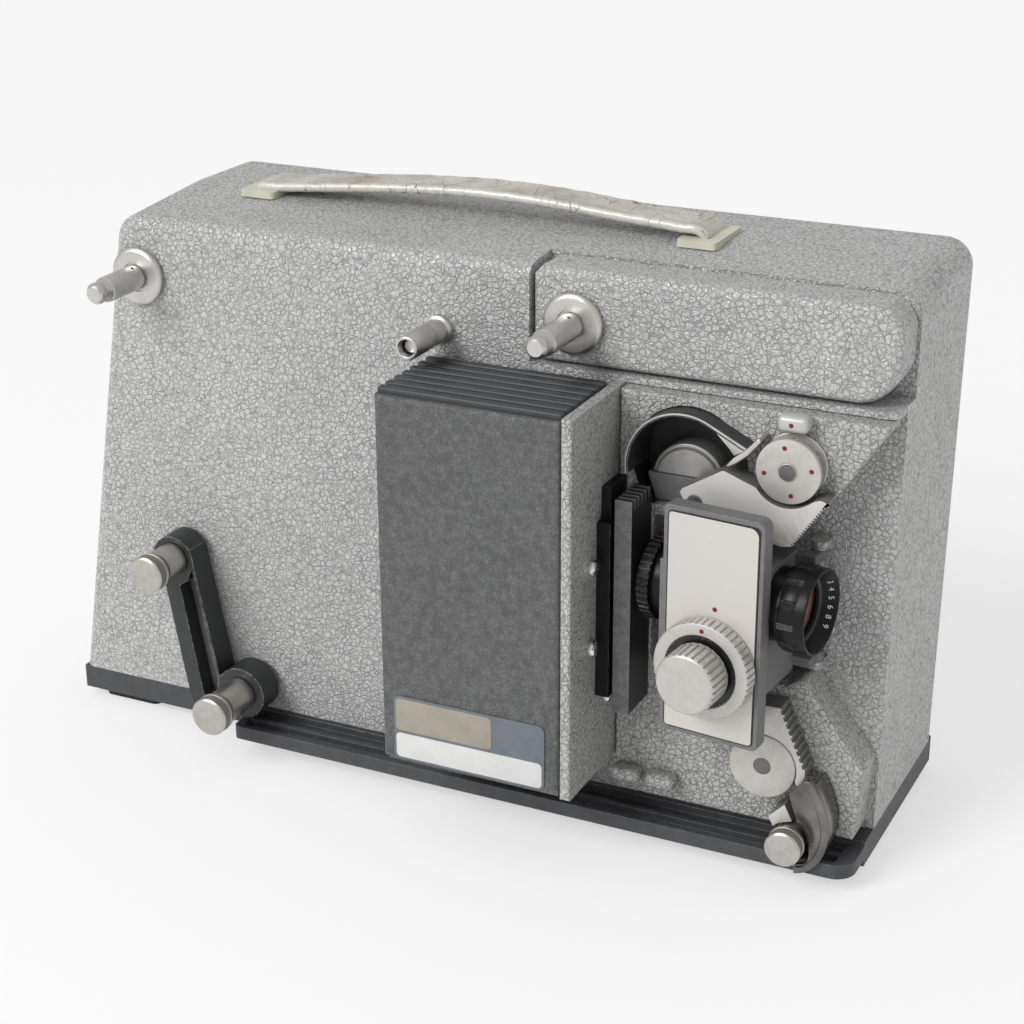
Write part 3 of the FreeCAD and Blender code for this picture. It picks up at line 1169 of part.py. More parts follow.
TO_ORIGIN = FreeCAD.Placement(V(-c.centre_x.value, -c.centre_y.value, 0), FreeCAD.Rotation())
TOE = FreeCAD.Placement(V(0, 0, 0), FreeCAD.Rotation(V(0, 0, 1), -c.toe_out.value),
                        V(c.gate_x.value, c.optic_y.value, 0))
placed = []
for label, thing, toed in NODES:
    part = doc.addObject("Part::Compound", label + "_part")
    part.Links = [thing]
    part.Label = label
    part.Placement = TO_ORIGIN.multiply(TOE) if toed else TO_ORIGIN
    placed.append((label, part))
doc.recompute()

troubles = ["%s is %s" % (thing.Label, state) for thing in doc.Objects for state in thing.State
            if state in ("Invalid", "Error")]
troubles += ["%s has no valid shape" % label for label, part in placed
             if part.Shape.isNull() or not part.Shape.isValid()]
if troubles:
    raise SystemExit("; ".join(troubles))
os.makedirs("parts", exist_ok=True)
low = [1e9, 1e9, 1e9]
high = [-1e9, -1e9, -1e9]
for label, part in placed:
    part.Shape.exportStep("parts/%s.step" % label)
    bounds = part.Shape.BoundBox
    low = [min(a, b) for a, b in zip(low, (bounds.XMin, bounds.YMin, bounds.ZMin))]
    high = [max(a, b) for a, b in zip(high, (bounds.XMax, bounds.YMax, bounds.ZMax))]
    print("%-20s %d solids %8.0f mm3" % (label, len(part.Shape.Solids), part.Shape.Volume))
print("parts:", len(placed))
print("bounds:", [round(v, 2) for v in low], [round(v, 2) for v in high])
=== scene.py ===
import math

import bmesh
import bpy
from mathutils import Matrix, Vector


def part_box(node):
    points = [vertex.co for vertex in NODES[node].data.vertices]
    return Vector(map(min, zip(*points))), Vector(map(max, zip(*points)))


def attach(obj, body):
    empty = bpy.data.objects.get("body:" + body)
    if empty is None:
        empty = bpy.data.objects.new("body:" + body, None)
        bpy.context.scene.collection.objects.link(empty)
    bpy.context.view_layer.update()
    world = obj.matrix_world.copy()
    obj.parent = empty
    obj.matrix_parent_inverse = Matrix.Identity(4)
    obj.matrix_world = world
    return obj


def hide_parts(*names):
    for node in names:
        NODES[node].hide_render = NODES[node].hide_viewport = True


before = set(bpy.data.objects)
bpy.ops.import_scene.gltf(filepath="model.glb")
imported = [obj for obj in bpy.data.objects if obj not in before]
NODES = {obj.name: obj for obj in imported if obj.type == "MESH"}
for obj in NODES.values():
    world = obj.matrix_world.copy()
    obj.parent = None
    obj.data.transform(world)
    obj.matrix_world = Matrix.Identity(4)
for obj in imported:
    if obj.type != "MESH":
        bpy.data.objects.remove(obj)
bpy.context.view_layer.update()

# Places are given in the case's own millimetres: x from the left foot corner, y from the main front
# face (negative towards the operator), z from the table.
MM = 0.001
CASE_CORNER = Vector((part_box("base_plate")[0].x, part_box("front_housing")[0].y, 0))
TOE_OUT = math.radians(-6)
TOE_CENTRE = (333, -14)
FRONTWARD = Vector((0, -1, 0))
LENSWARD = Vector((math.cos(TOE_OUT), math.sin(TOE_OUT), 0))


def at(x, y, z):
    """A place in the frame, from case millimetres."""
    return CASE_CORNER + Vector((x, y, z)) * MM


def toed(x, y, z):
    """A place on the toed-out lens carrier, drawn along the case and then turned."""
    dx, dy = x - TOE_CENTRE[0], y - TOE_CENTRE[1]
    return at(TOE_CENTRE[0] + dx * math.cos(TOE_OUT) - dy * math.sin(TOE_OUT),
              TOE_CENTRE[1] + dx * math.sin(TOE_OUT) + dy * math.cos(TOE_OUT), z)


# Material nodes

class Finish:
    """A material with short calls for the nodes that its look is made of."""

    def __init__(self, name, colour, roughness, metallic=0.0):
        self.material = bpy.data.materials.new(name)
        self.material.use_nodes = True
        self.tree = self.material.node_tree
        self.shader = self.tree.nodes["Principled BSDF"]
        self.set("Base Color", (*colour, 1))
        self.set("Roughness", roughness)
        self.set("Metallic", metallic)
        self.place = self.make("ShaderNodeTexCoord").outputs["Object"]

    def set(self, socket, value):
        """Sets one of the shader's sockets, or links it to another node's output."""
        self.plug(self.shader.inputs[socket], value)

    def plug(self, socket, value):
        if isinstance(value, bpy.types.NodeSocket):
            self.tree.links.new(value, socket)
        else:
            socket.default_value = value

    def make(self, kind, settings=None, inputs=None):
        node = self.tree.nodes.new(kind)
        for name, value in (settings or {}).items():
            setattr(node, name, value)
        for name, value in (inputs or {}).items():
            self.plug(node.inputs[name], value)
        return node

    def noise(self, scale, detail=3.0, rough=0.55, place=None, stretch=None):
        place = place or self.place
        if stretch:
            place = self.make("ShaderNodeMapping", inputs={"Vector": place, "Scale": stretch}).outputs[0]
        return self.make("ShaderNodeTexNoise", inputs={
            "Vector": place, "Scale": scale, "Detail": detail, "Roughness": rough}).outputs["Fac"]

    def warped(self, scale, amount):
        """The object's coordinates pushed about by noise, so that cells lose their straight sides."""
        noise = self.make("ShaderNodeTexNoise", inputs={"Vector": self.place, "Scale": scale, "Detail": 2.0})
        push = self.make("ShaderNodeVectorMath", {"operation": "SUBTRACT"},
                         {0: noise.outputs["Color"], 1: (0.5, 0.5, 0.5)}).outputs[0]
        sized = self.make("ShaderNodeVectorMath", {"operation": "SCALE"},
                          {0: push, "Scale": amount}).outputs[0]
        return self.make("ShaderNodeVectorMath", {"operation": "ADD"}, {0: self.place, 1: sized}).outputs[0]

    def cells(self, scale, place, feature="DISTANCE_TO_EDGE"):
        return self.make("ShaderNodeTexVoronoi", {"feature": feature},
                         {"Vector": place, "Scale": scale, "Randomness": 1.0})

    def ramp(self, factor, *stops):
        """Colours or greys along a factor: each stop is (position, value)."""
        node = self.make("ShaderNodeValToRGB", inputs={"Fac": factor})
        points = node.color_ramp.elements
        while len(points) < len(stops):
            points.new(0.5)
        for point, (position, value) in zip(points, stops):
            point.position = position
            point.color = (*value, 1) if isinstance(value, tuple) else (value, value, value, 1)
        return node.outputs["Color"]

    def mix(self, factor, first, second, blend="MIX"):
        node = self.make("ShaderNodeMix", {"data_type": "RGBA", "blend_type": blend})
        self.plug(node.inputs[0], factor)
        self.plug(node.inputs[6], first if isinstance(first, bpy.types.NodeSocket) else (*first, 1))
        self.plug(node.inputs[7], second if isinstance(second, bpy.types.NodeSocket) else (*second, 1))
        return node.outputs[2]

    def sum(self, operation, first, second):
        return self.make("ShaderNodeMath", {"operation": operation}, {0: first, 1: second}).outputs[0]

    def bump(self, height, distance, strength=1.0, normal=None):
        inputs = {"Height": height, "Distance": distance, "Strength": strength}
        if normal:
            inputs["Normal"] = normal
        return self.make("ShaderNodeBump", inputs=inputs).outputs[0]

    def eased(self, radius):
        """The surface normal with sharp edges rounded off."""
        return self.make("ShaderNodeBevel", {"samples": 6}, {"Radius": radius}).outputs[0]

    def edges(self, normal, low=0.02, high=0.22):
        """Bright where the rounded normal leaves the flat one, which is along the edges."""
        flat = self.make("ShaderNodeNewGeometry").outputs["Normal"]
        dot = self.make("ShaderNodeVectorMath", {"operation": "DOT_PRODUCT"}, {0: normal, 1: flat})
        away = self.sum("SUBTRACT", 1.0, dot.outputs["Value"])
        return self.ramp(away, (low, 0.0), (high, 1.0))

    def facing(self, direction, low=0.5, high=0.9):
        """Bright on faces that look along a direction of the frame."""
        flat = self.make("ShaderNodeNewGeometry").outputs["Normal"]
        dot = self.make("ShaderNodeVectorMath", {"operation": "DOT_PRODUCT"}, {0: flat, 1: direction})
        return self.ramp(dot.outputs["Value"], (low, 0.0), (high, 1.0))


def crackle_enamel(name, light, dark, cell_mm, depth_mm, shine=0.42, metal=0.25, cloud=(28, 0.92)):
    """Stoved wrinkle enamel: soft raised pebbles, with faint furrows that come and go between them; the furrows are
    darkened with painted shade and the pebble crests lightened with a painted highlight.
    """
    f = Finish(name, light, shine, metal)
    big = f.cells(1000 / cell_mm, f.warped(520, 0.0022)).outputs["Distance"]
    small = f.cells(1900 / cell_mm, f.warped(1100, 0.0012)).outputs["Distance"]
    pebble = f.ramp(big, (0.0, 0.0), (0.08, 0.5), (0.2, 0.85), (0.4, 1.0))
    crumb = f.ramp(small, (0.0, 0.0), (0.2, 1.0))
    swell = f.noise(330, 3)
    height = f.sum("ADD", f.sum("MULTIPLY", pebble, 0.8), f.sum("MULTIPLY", crumb, 0.4))
    height = f.sum("ADD", height, f.sum("MULTIPLY", swell, 0.6))
    often = f.ramp(f.noise(300, 2), (0.36, 0.3), (0.6, 1.0))
    furrow = f.ramp(big, (0.0, 1.0), (0.07, 0.5), (0.14, 0.0))
    fine_furrow = f.ramp(small, (0.0, 0.45), (0.1, 0.0))
    # Painted shade: the furrows and fine furrows are painted darker, standing in for the shade in the creases between
    # pebbles.
    shade = f.sum("MULTIPLY", f.sum("MAXIMUM", furrow, fine_furrow), often)
    cloud_scale, cloud_share = cloud
    patchy = f.mix(f.ramp(f.noise(cloud_scale, 4), (0.35, 0.0), (0.65, 1.0)), light,
                   tuple(cloud_share * v for v in light))
    # Painted highlight: the crests of the pebbles are painted lighter than the enamel.
    painted_crest_highlight = f.ramp(f.sum("MULTIPLY", pebble, swell), (0.3, 0.0), (0.62, 1.0))
    with_crest_highlight = f.mix(f.sum("MULTIPLY", painted_crest_highlight, 0.3), patchy, tuple(min(1.0, 1.4 * v) for v in light))
    f.set("Base Color", f.mix(shade, with_crest_highlight, dark))
    f.set("Roughness", f.ramp(shade, (0.0, shine), (1.0, 0.7)))
    f.set("Normal", f.bump(height, depth_mm * MM, 0.9))
    return f.material


def worn_paint(name, paint, bare, shine, mottle=0.25, wear=1.0, radius=0.0005, metal=0.0, gloss=0.5):
    """Smooth paint with faint mottling, rubbed through to the metal along its edges."""
    f = Finish(name, paint, shine, metal)
    cloud = f.ramp(f.noise(160, 5, 0.65), (0.3, 0.0), (0.72, 1.0))
    lighter = tuple(min(1.0, v * 1.35 + 0.008) for v in paint)
    coat = f.mix(f.sum("MULTIPLY", cloud, mottle * 2.4), paint, lighter)
    normal = f.eased(radius)
    chipped = f.ramp(f.noise(520, 4, 0.7), (0.42, 0.0), (0.62, 1.0))
    rub = f.sum("MULTIPLY", f.edges(normal), chipped)
    rubbed = f.sum("MULTIPLY", rub, wear)
    f.set("Base Color", f.mix(rubbed, coat, bare))
    f.set("Roughness", f.ramp(cloud, (0.0, shine), (1.0, min(1.0, shine + 0.14))))
    f.set("Specular IOR Level", gloss)
    f.set("Normal", f.bump(f.noise(1300, 2), 0.00004, 0.5, normal))
    return f.material


def satin_plate(name, face, side, speck=0.5, forward=None):
    """Off-white satin plate metal with a fine grain and small dark specks, greyer on its sides, with a painted
    highlight along its edges.
    """
    f = Finish(name, face, 0.42, 0.25)
    grain = f.ramp(f.noise(900, 3, 0.6, stretch=(1, 1, 7)), (0.3, 0.0), (0.7, 1.0))
    toned = f.mix(grain, tuple(0.95 * v for v in face), tuple(min(1.0, 1.04 * v) for v in face))
    spots = f.ramp(f.cells(150, f.warped(300, 0.002), "F1").outputs["Distance"], (0.04, 1.0), (0.075, 0.0))
    rare = f.ramp(f.noise(70, 1), (0.55, 0.0), (0.6, 1.0))
    marked = f.mix(f.sum("MULTIPLY", f.sum("MULTIPLY", spots, rare), speck), toned, (0.12, 0.08, 0.07))
    if forward:
        marked = f.mix(f.facing(forward), side, marked)
    normal = f.eased(0.0003)
    # Painted highlight: the rounded edges are painted near-white.
    f.set("Base Color", f.mix(f.edges(normal, 0.05, 0.35), marked, (0.8, 0.79, 0.76)))
    f.set("Roughness", f.ramp(grain, (0.0, 0.38), (1.0, 0.5)))
    f.set("Normal", f.bump(grain, 0.00002, 0.4, normal))
    return f.material


def turned_metal(name, colour, roughness, rings=1.0, stain=0.35, metal=1.0):
    """Lathe-turned metal: fine rings round the object's own Z axis, with a little staining."""
    f = Finish(name, colour, roughness, metal)
    lines = f.make("ShaderNodeTexWave", {"wave_type": "RINGS", "rings_direction": "Z"},
                   {"Vector": f.place, "Scale": 900.0, "Distortion": 0.6, "Detail": 2.0}).outputs["Fac"]
    smear = f.ramp(f.noise(240, 4, 0.6), (0.35, 0.0), (0.75, 1.0))
    dull = tuple(0.62 * v for v in colour)
    toned = f.mix(f.sum("MULTIPLY", smear, stain), colour, dull)
    lined = f.mix(f.sum("MULTIPLY", lines, 0.14 * rings), toned, dull)
    f.set("Base Color", lined)
    f.set("Roughness", f.ramp(smear, (0.0, roughness), (1.0, min(1.0, roughness + 0.16))))
    f.set("Normal", f.bump(lines, 0.00003, 0.35 * rings))
    return f.material


def plain_finish(name, colour, roughness, metal=0.0, grain=500, depth=0.00003, vary=0.3):
    """Cast, moulded or pressed stuff: one colour with a cloudy variation and a fine grain."""
    f = Finish(name, colour, roughness, metal)
    cloud = f.ramp(f.noise(grain * 0.25, 4), (0.3, 0.0), (0.7, 1.0))
    other = tuple(v * (1 - vary) for v in colour)
    f.set("Base Color", f.mix(cloud, colour, other))
    f.set("Roughness", f.ramp(cloud, (0.0, roughness), (1.0, min(1.0, roughness + 0.12))))
    f.set("Normal", f.bump(f.noise(grain, 3), depth, 0.6))
    return f.material


def strap_leather():
    """Silver-beige coated leather: cracks across the bend lines, worn brown in its middle."""
    f = Finish("strap_leather", (0.52, 0.49, 0.44), 0.4, 0.12)
    bent = f.warped(260, 0.004)
    long_cells = f.make("ShaderNodeMapping", inputs={"Vector": bent, "Scale": (1.0, 0.45, 0.6)}).outputs[0]
    crack = f.ramp(f.cells(95, long_cells).outputs["Distance"], (0.0, 1.0), (0.022, 0.0))
    fine = f.ramp(f.cells(330, bent).outputs["Distance"], (0.0, 0.5), (0.05, 0.0))
    often = f.ramp(f.noise(60, 3), (0.42, 0.0), (0.6, 1.0))
    lines = f.sum("MULTIPLY", f.sum("MAXIMUM", crack, fine), often)
    up = f.facing((0, 0, 1), 0.75, 0.98)
    worn = f.ramp(f.noise(42, 5, 0.7), (0.38, 0.0), (0.68, 1.0))
    skin = f.mix(f.sum("MULTIPLY", up, worn), (0.60, 0.58, 0.54), (0.40, 0.355, 0.30))
    f.set("Base Color", f.mix(lines, skin, (0.10, 0.06, 0.045)))
    f.set("Roughness", f.ramp(up, (0.0, 0.32), (1.0, 0.55)))
    height = f.sum("SUBTRACT", f.noise(500, 3), lines)
    f.set("Normal", f.bump(height, 0.00018, 0.6))
    return f.material


def glass(name, colour, through=0.75):
    f = Finish(name, colour, 0.03)
    f.set("Transmission Weight", through)
    f.set("IOR", 1.5)
    f.set("Coat Weight", 0.6)
    f.set("Coat Roughness", 0.02)
    smear = f.ramp(f.noise(90, 4), (0.4, 0.02), (0.8, 0.09))
    f.set("Roughness", smear)
    return f.material


def red_enamel():
    f = Finish("red_enamel", (0.20, 0.008, 0.012), 0.35)
    pool = f.ramp(f.noise(1200, 2), (0.3, 0.0), (0.7, 1.0))
    f.set("Base Color", f.mix(pool, (0.22, 0.008, 0.012), (0.09, 0.004, 0.006)))
    return f.material


LIGHT_PLATE = (0.60, 0.575, 0.535)
CASE_ENAMEL = crackle_enamel("case_enamel", (0.58, 0.58, 0.575), (0.30, 0.30, 0.30), 2.8, 0.68, 0.36)
DECK_ENAMEL = crackle_enamel("deck_enamel", (0.52, 0.52, 0.512), (0.19, 0.19, 0.19), 2.7, 0.55, 0.38)
LAMP_ENAMEL = crackle_enamel("lamp_enamel", (0.130, 0.131, 0.133), (0.075, 0.075, 0.076), 2.2, 0.2, 0.46, 0.1,
                             (240, 0.58))
BLACK_PAINT = worn_paint("black_paint", (0.020, 0.021, 0.022), (0.50, 0.49, 0.48), 0.36, 0.3, 1.3, 0.0009)
BASE_PAINT = worn_paint("base_paint", (0.040, 0.041, 0.045), (0.36, 0.36, 0.37), 0.45, 0.5, 0.75)
RIB_PAINT = worn_paint("rib_paint", (0.030, 0.032, 0.036), (0.16, 0.16, 0.17), 0.42, 0.4, 0.6)
GATE_PAINT = worn_paint("gate_paint", (0.007, 0.007, 0.008), (0.26, 0.25, 0.24), 0.42, 0.15, 0.8, gloss=0.2)
CARRIER_PAINT = worn_paint("carrier_paint", (0.130, 0.130, 0.132), (0.50, 0.49, 0.47), 0.48, 0.35, 0.75)
GREY_PAINT = worn_paint("grey_paint", (0.20, 0.20, 0.20), (0.5, 0.49, 0.47), 0.5, 0.3, 0.6)
PLATE_FACE = satin_plate("plate_face", LIGHT_PLATE, (0.2, 0.2, 0.2), 0.25)
TAB_SILVER = satin_plate("tab_silver", (0.50, 0.50, 0.49), (0.3, 0.3, 0.3), 0.7)
GUIDE_FACE = satin_plate("guide_face", (0.56, 0.55, 0.52), (0.17, 0.168, 0.165), 0.6, (0, -1, 0))
TURNED_STEEL = turned_metal("turned_steel", (0.66, 0.645, 0.62), 0.30)
KNURLED_STEEL = turned_metal("knurled_steel", (0.56, 0.54, 0.50), 0.34, 0.5, 0.5)
DARK_STEEL = turned_metal("dark_steel", (0.20, 0.19, 0.185), 0.38, 0.6)
DISC_FACE = turned_metal("disc_face", (0.58, 0.56, 0.53), 0.42, 0.9, 0.35, 0.6)
# Painted shade: a darker turned metal standing in for the shade in the grooves of the rollers' knurled bands.
KNURL_PAINTED_SHADE = turned_metal("knurl_painted_shade", (0.30, 0.285, 0.265), 0.4, 0.2, 0.3, 0.8)
SCREW_CHROME = turned_metal("screw_chrome", (0.80, 0.79, 0.78), 0.16, 0.2, 0.25)
SHROUD_BLACK = worn_paint("shroud_black", (0.020, 0.020, 0.021), (0.52, 0.51, 0.49), 0.34, 0.3, 1.0, 0.0007)
SHROUD_EDGE = plain_finish("shroud_edge", (0.60, 0.60, 0.58), 0.36, 0.6, 500)
DRUM_SATIN = turned_metal("drum_satin", (0.40, 0.395, 0.385), 0.36, 0.9, 0.25, 0.6)
CHAMBER_BLACK = plain_finish("chamber_black", (0.012, 0.012, 0.013), 0.5, 0.0, 500)
POLISHED_DARK = plain_finish("polished_dark", (0.24, 0.232, 0.225), 0.2, 0.9, 300, 0.00004, 0.5)
BLACK_GLOSS = plain_finish("black_gloss", (0.012, 0.012, 0.013), 0.22, 0.0, 700, 0.00002)
LENS_BLACK = worn_paint("lens_black", (0.006, 0.006, 0.0065), (0.36, 0.34, 0.30), 0.26, 0.1, 0.9, 0.0003,
                        gloss=0.2)
COATED_GLASS = glass("coated_glass", (0.50, 0.22, 0.20), 0.55)
CLEAR_GLASS = glass("clear_glass", (0.92, 0.94, 0.93), 0.95)
RED_ENAMEL = red_enamel()
STRAP_LEATHER = strap_leather()
CREAM_PLASTIC = plain_finish("cream_plastic", (0.62, 0.60, 0.49), 0.42, 0.0, 400, 0.00003, 0.14)
FOOT_RUBBER = plain_finish("foot_rubber", (0.022, 0.022, 0.023), 0.75, 0.0, 900, 0.0001)
PANEL_BEIGE = plain_finish("panel_beige", (0.36, 0.325, 0.27), 0.42, 0.2, 500, 0.00002, 0.12)
PANEL_BLUE = plain_finish("panel_blue", (0.155, 0.18, 0.205), 0.42, 0.2, 500, 0.00002, 0.15)
PANEL_WHITE = plain_finish("panel_white", (0.66, 0.66, 0.65), 0.42, 0.1, 500, 0.00002, 0.08)
NUMERAL_WHITE = plain_finish("numeral_white", (0.8, 0.8, 0.78), 0.5, 0.0, 800, 0.00001, 0.1)
CAST_IRON = plain_finish("cast_iron", (0.20, 0.20, 0.21), 0.6, 0.4, 700, 0.0002)
SHEET_STEEL = plain_finish("sheet_steel", (0.48, 0.47, 0.45), 0.36, 0.9, 300)
COIL_TAPE = plain_finish("coil_tape", (0.42, 0.29, 0.09), 0.6, 0.0, 250, 0.0002)
GEAR_BRASS = plain_finish("gear_brass", (0.62, 0.46, 0.19), 0.3, 1.0, 500)
BELT_RUBBER = plain_finish("belt_rubber", (0.02, 0.02, 0.02), 0.7, 0.0, 900, 0.0001)
CERAMIC = plain_finish("ceramic", (0.72, 0.69, 0.62), 0.5, 0.0, 400)
MIRROR = plain_finish("mirror", (0.86, 0.86, 0.86), 0.08, 1.0, 200, 0.00001, 0.05)

CAD_FINISHES = (
    (CASE_ENAMEL, ("front_housing", "rear_cover", "feed_arm")),
    (DECK_ENAMEL, ("mechanism_deck", "lamp_house_wall", "cover_hinges")),
    (LAMP_ENAMEL, ("lamp_cover",)),
    (BASE_PAINT, ("base_plate",)),
    (BLACK_PAINT, ("tension_lever", "condenser_holder")),
    (GATE_PAINT, ("gate_bracket",)),
    (CARRIER_PAINT, ("lens_carrier",)),
    (PLATE_FACE, ("carrier_face_plate",)),
    (GREY_PAINT, ("fixed_pivots",)),
    (SHROUD_BLACK, ("film_loop_shroud",)),
    (FOOT_RUBBER, ("rubber_feet",)),
    (CREAM_PLASTIC, ("handle_plates",)),
    (CAST_IRON, ("motor_frame", "motor_rotor", "transformer_core")),
    (COIL_TAPE, ("transformer_coil",)),
    (SHEET_STEEL, ("frame_plate", "cooling_fan", "shutter_disc", "shutter_shaft")),
    (GEAR_BRASS, ("cross_gear",)),
    (BELT_RUBBER, ("drive_belts",)),
    (CERAMIC, ("lamp_socket",)),
    (MIRROR, ("lamp_reflector",)),
    (CLEAR_GLASS, ("lamp", "condenser_lens")),
    (BLACK_GLOSS, ("mains_inlet", "switch_frame", "power_switch")),
)
for finish, names in CAD_FINISHES:
    for name in names:
        mesh = NODES[name].data
        mesh.materials.clear()
        mesh.materials.append(finish)


# Mesh makers

def finished(name, mesh_data, material, place=None, sharp_degrees=32):
    """An object of that mesh, smooth apart from its sharp edges."""
    mesh = bpy.data.meshes.new(name)
    if isinstance(mesh_data, bmesh.types.BMesh):
        bmesh.ops.recalc_face_normals(mesh_data, faces=mesh_data.faces)
        mesh_data.to_mesh(mesh)
        mesh_data.free()
    else:
        mesh.from_pydata(*mesh_data)
    mesh.shade_smooth()
    mesh.set_sharp_from_angle(angle=math.radians(sharp_degrees))
    mesh.materials.append(material)
    thing = bpy.data.objects.new(name, mesh)
    bpy.context.scene.collection.objects.link(thing)
    if place is not None:
        thing.matrix_world = place
    return thing


def turned_place(spot, axis):
    """The matrix that puts local Z along an axis, with local X level."""
    turn = axis.to_track_quat("Z", "Y").to_matrix().to_4x4()
    return Matrix.Translation(spot) @ turn


def lathe(name, spot, axis, profile, material, segments=96, closed=False, ripple=None):
    """A turned piece: profile is (distance along the axis, radius) in mm, ripple adds to the radius."""
    shape = bmesh.new()
    rows = []
    for along, radius in profile:
        if radius < 1e-6:
            rows.append([shape.verts.new((0, 0, along * MM))] * segments)
            continue
        row = []
        for k in range(segments):
            turn = 2 * math.pi * k / segments
            out = radius + (ripple(k, along, radius) if ripple else 0)
            row.append(shape.verts.new((out * math.cos(turn) * MM, out * math.sin(turn) * MM, along * MM)))
        rows.append(row)
    pairs = list(zip(rows, rows[1:])) + ([(rows[-1], rows[0])] if closed else [])
    for first, second in pairs:
        for k in range(segments):
            after = (k + 1) % segments
            corners = [first[k], first[after], second[after], second[k]]
            unique = [v for n, v in enumerate(corners) if v not in corners[:n]]
            if len(unique) > 2:
                shape.faces.new(unique)
    return finished(name, shape, material, turned_place(spot, axis))


def slab(name, points, back, front, material, bevel=0.4, place=at, steps=2):
    """A plate in the upright plane from an outline of (x, z), with its edges rounded."""
    shape = bmesh.new()
    rims = [[shape.verts.new(place(x, y, z)) for x, z in points] for y in (back, front)]
    shape.faces.new(rims[0])
    shape.faces.new(rims[1][::-1])
    for k in range(len(points)):
        after = (k + 1) % len(points)
        shape.faces.new((rims[0][k], rims[0][after], rims[1][after], rims[1][k]))
    bmesh.ops.recalc_face_normals(shape, faces=shape.faces)
    if bevel:
        rim_edges = [e for e in shape.edges if e.calc_face_angle(0) > math.radians(30)]
        bmesh.ops.bevel(shape, geom=rim_edges, offset=bevel * MM, segments=steps, profile=0.5,
                        affect="EDGES", clamp_overlap=True)
    return finished(name, shape, material)


def block(name, low, high, material, bevel=0.5, place=at, steps=2):
    points = [(low[0], low[2]), (high[0], low[2]), (high[0], high[2]), (low[0], high[2])]
    return slab(name, points, high[1], low[1], material, bevel, place, steps)


def disc_dot(name, spot, axis, radius, proud=0.12):
    """A small filled dot of enamel, a little domed."""
    return lathe(name, spot, axis, [(-0.2, 0), (-0.2, radius), (proud * 0.5, radius), (proud, radius * 0.6),
                                    (proud * 1.1, 0)], RED_ENAMEL, 24)


def carve(thing, cutters):
    """Takes the cutters out of a piece for good, and removes them."""
    for cutter in cutters:
        hole = thing.modifiers.new("hole", "BOOLEAN")
        hole.operation = "DIFFERENCE"
        hole.solver = "EXACT"
        hole.object = cutter
    graph = bpy.context.evaluated_depsgraph_get()
    mesh = bpy.data.meshes.new_from_object(thing.evaluated_get(graph))
    thing.modifiers.clear()
    thing.data = mesh
    mesh.set_sharp_from_angle(angle=math.radians(32))
    for cutter in cutters:
        bpy.data.objects.remove(cutter)
    return thing


def joined(name, things):
    """One piece out of several, in the frame's own coordinates."""
    shape = bmesh.new()
    materials = []
    for thing in things:
        start = len(shape.faces)
        copy = thing.data.copy()
        copy.transform(thing.matrix_world)
        shape.from_mesh(copy)
        shape.faces.ensure_lookup_table()
        if thing.data.materials[0] not in materials:
            materials.append(thing.data.materials[0])
        for face in shape.faces[start:]:
            face.material_index = materials.index(thing.data.materials[0])
    whole = finished(name, shape, materials[0])
    for extra in materials[1:]:
        whole.data.materials.append(extra)
    for thing in things:
        bpy.data.objects.remove(thing)
    return whole


def fit(piece, body, slot, *replaced):
    """Puts a piece on its body and hides the CAD nodes it stands for; the slot is not used."""
    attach(piece, body)
    if replaced:
        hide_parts(*replaced)
    return piece


def knurl(share, depth, low, high):
    """A ripple of straight grooves round a knob between two distances: lands stand, the rest is cut."""
    def ripple(k, along, radius, per=10):
        inside = low <= along <= high
        return -depth if inside and (k % per) >= share * per else 0
    return ripple


def diamond(count, depth, low, high, per):
    """A ripple of fine crossed grooves between two distances, with per steps to each diamond."""
    def ripple(k, along, radius):
        if not low < along < high:
            return 0
        turn = 2 * math.pi * k / per
        lead = (along - low) * 2 * math.pi / 1.3
        return -depth * (0.5 - 0.25 * math.cos(turn + lead) - 0.25 * math.cos(turn - lead))
    return ripple


# Reel spindles and the storage stub

def reel_spindle(name, x, z, reach, inside, body, slot_at):
    """A spindle with its flange, a stepped tip, a detent hole and, near the root, a key slot."""
    shoulder = reach - 4.6
    profile = [(-inside, 0), (-inside, 10.2), (5 - inside, 10.2), (5 - inside, 6.2), (0.5, 6.2), (0.5, 13.4),
               (1.0, 14.1), (2.6, 14.1), (3.2, 13.7), (3.9, 12.6), (4.0, 12.2), (4.0, 7.3), (2.9, 7.1),
               (2.9, 6.2), (6, 6.15), (shoulder - 1.2, 6.15), (shoulder - 0.4, 6.0), (shoulder, 5.6),
               (shoulder + 2.6, 4.9), (reach - 1.2, 4.5), (reach - 0.2, 4.6), (reach + 0.8, 5.2),
               (reach + 2.2, 5.1), (reach + 3.6, 4.1), (reach + 4, 3.6), (reach + 4, 0)]
    spindle = lathe(name, at(x, 0, z), FRONTWARD, profile, TURNED_STEEL, 96)
    hole = lathe(name + "_hole", at(x - 3, 9 - reach, z + 3), Vector((-0.6, 0, 0.8)),
                 [(-2, 0), (-2, 1.25), (6, 1.25), (6, 0)], CHAMBER_BLACK, 32)
    slot = lathe(name + "_slot", at(x + 1.2, -slot_at, z + 3), Vector((0.3, 0, 0.95)),
                 [(-1, 0), (-1, 1.0), (6, 1.0), (6, 0)], CHAMBER_BLACK, 24)
    carve(spindle, [hole, slot])
    ball = lathe(name + "_ball", at(x - 2.9, 9 - reach, z + 3.9), Vector((-0.6, 0, 0.8)),
                 [(-1, 0), (-1, 0.9), (0.6, 0.85), (1.1, 0.5), (1.25, 0)], SCREW_CHROME, 24)
    fit(spindle, body, "bare_steel", name)
    fit(ball, body, "screw_chrome")


reel_spindle("feed_spindle", 284.5, 243.8, 37.5, 18, "feed_spindle", 11)
reel_spindle("takeup_spindle", 54, 238.6, 34, 24, "takeup_spindle", 9)

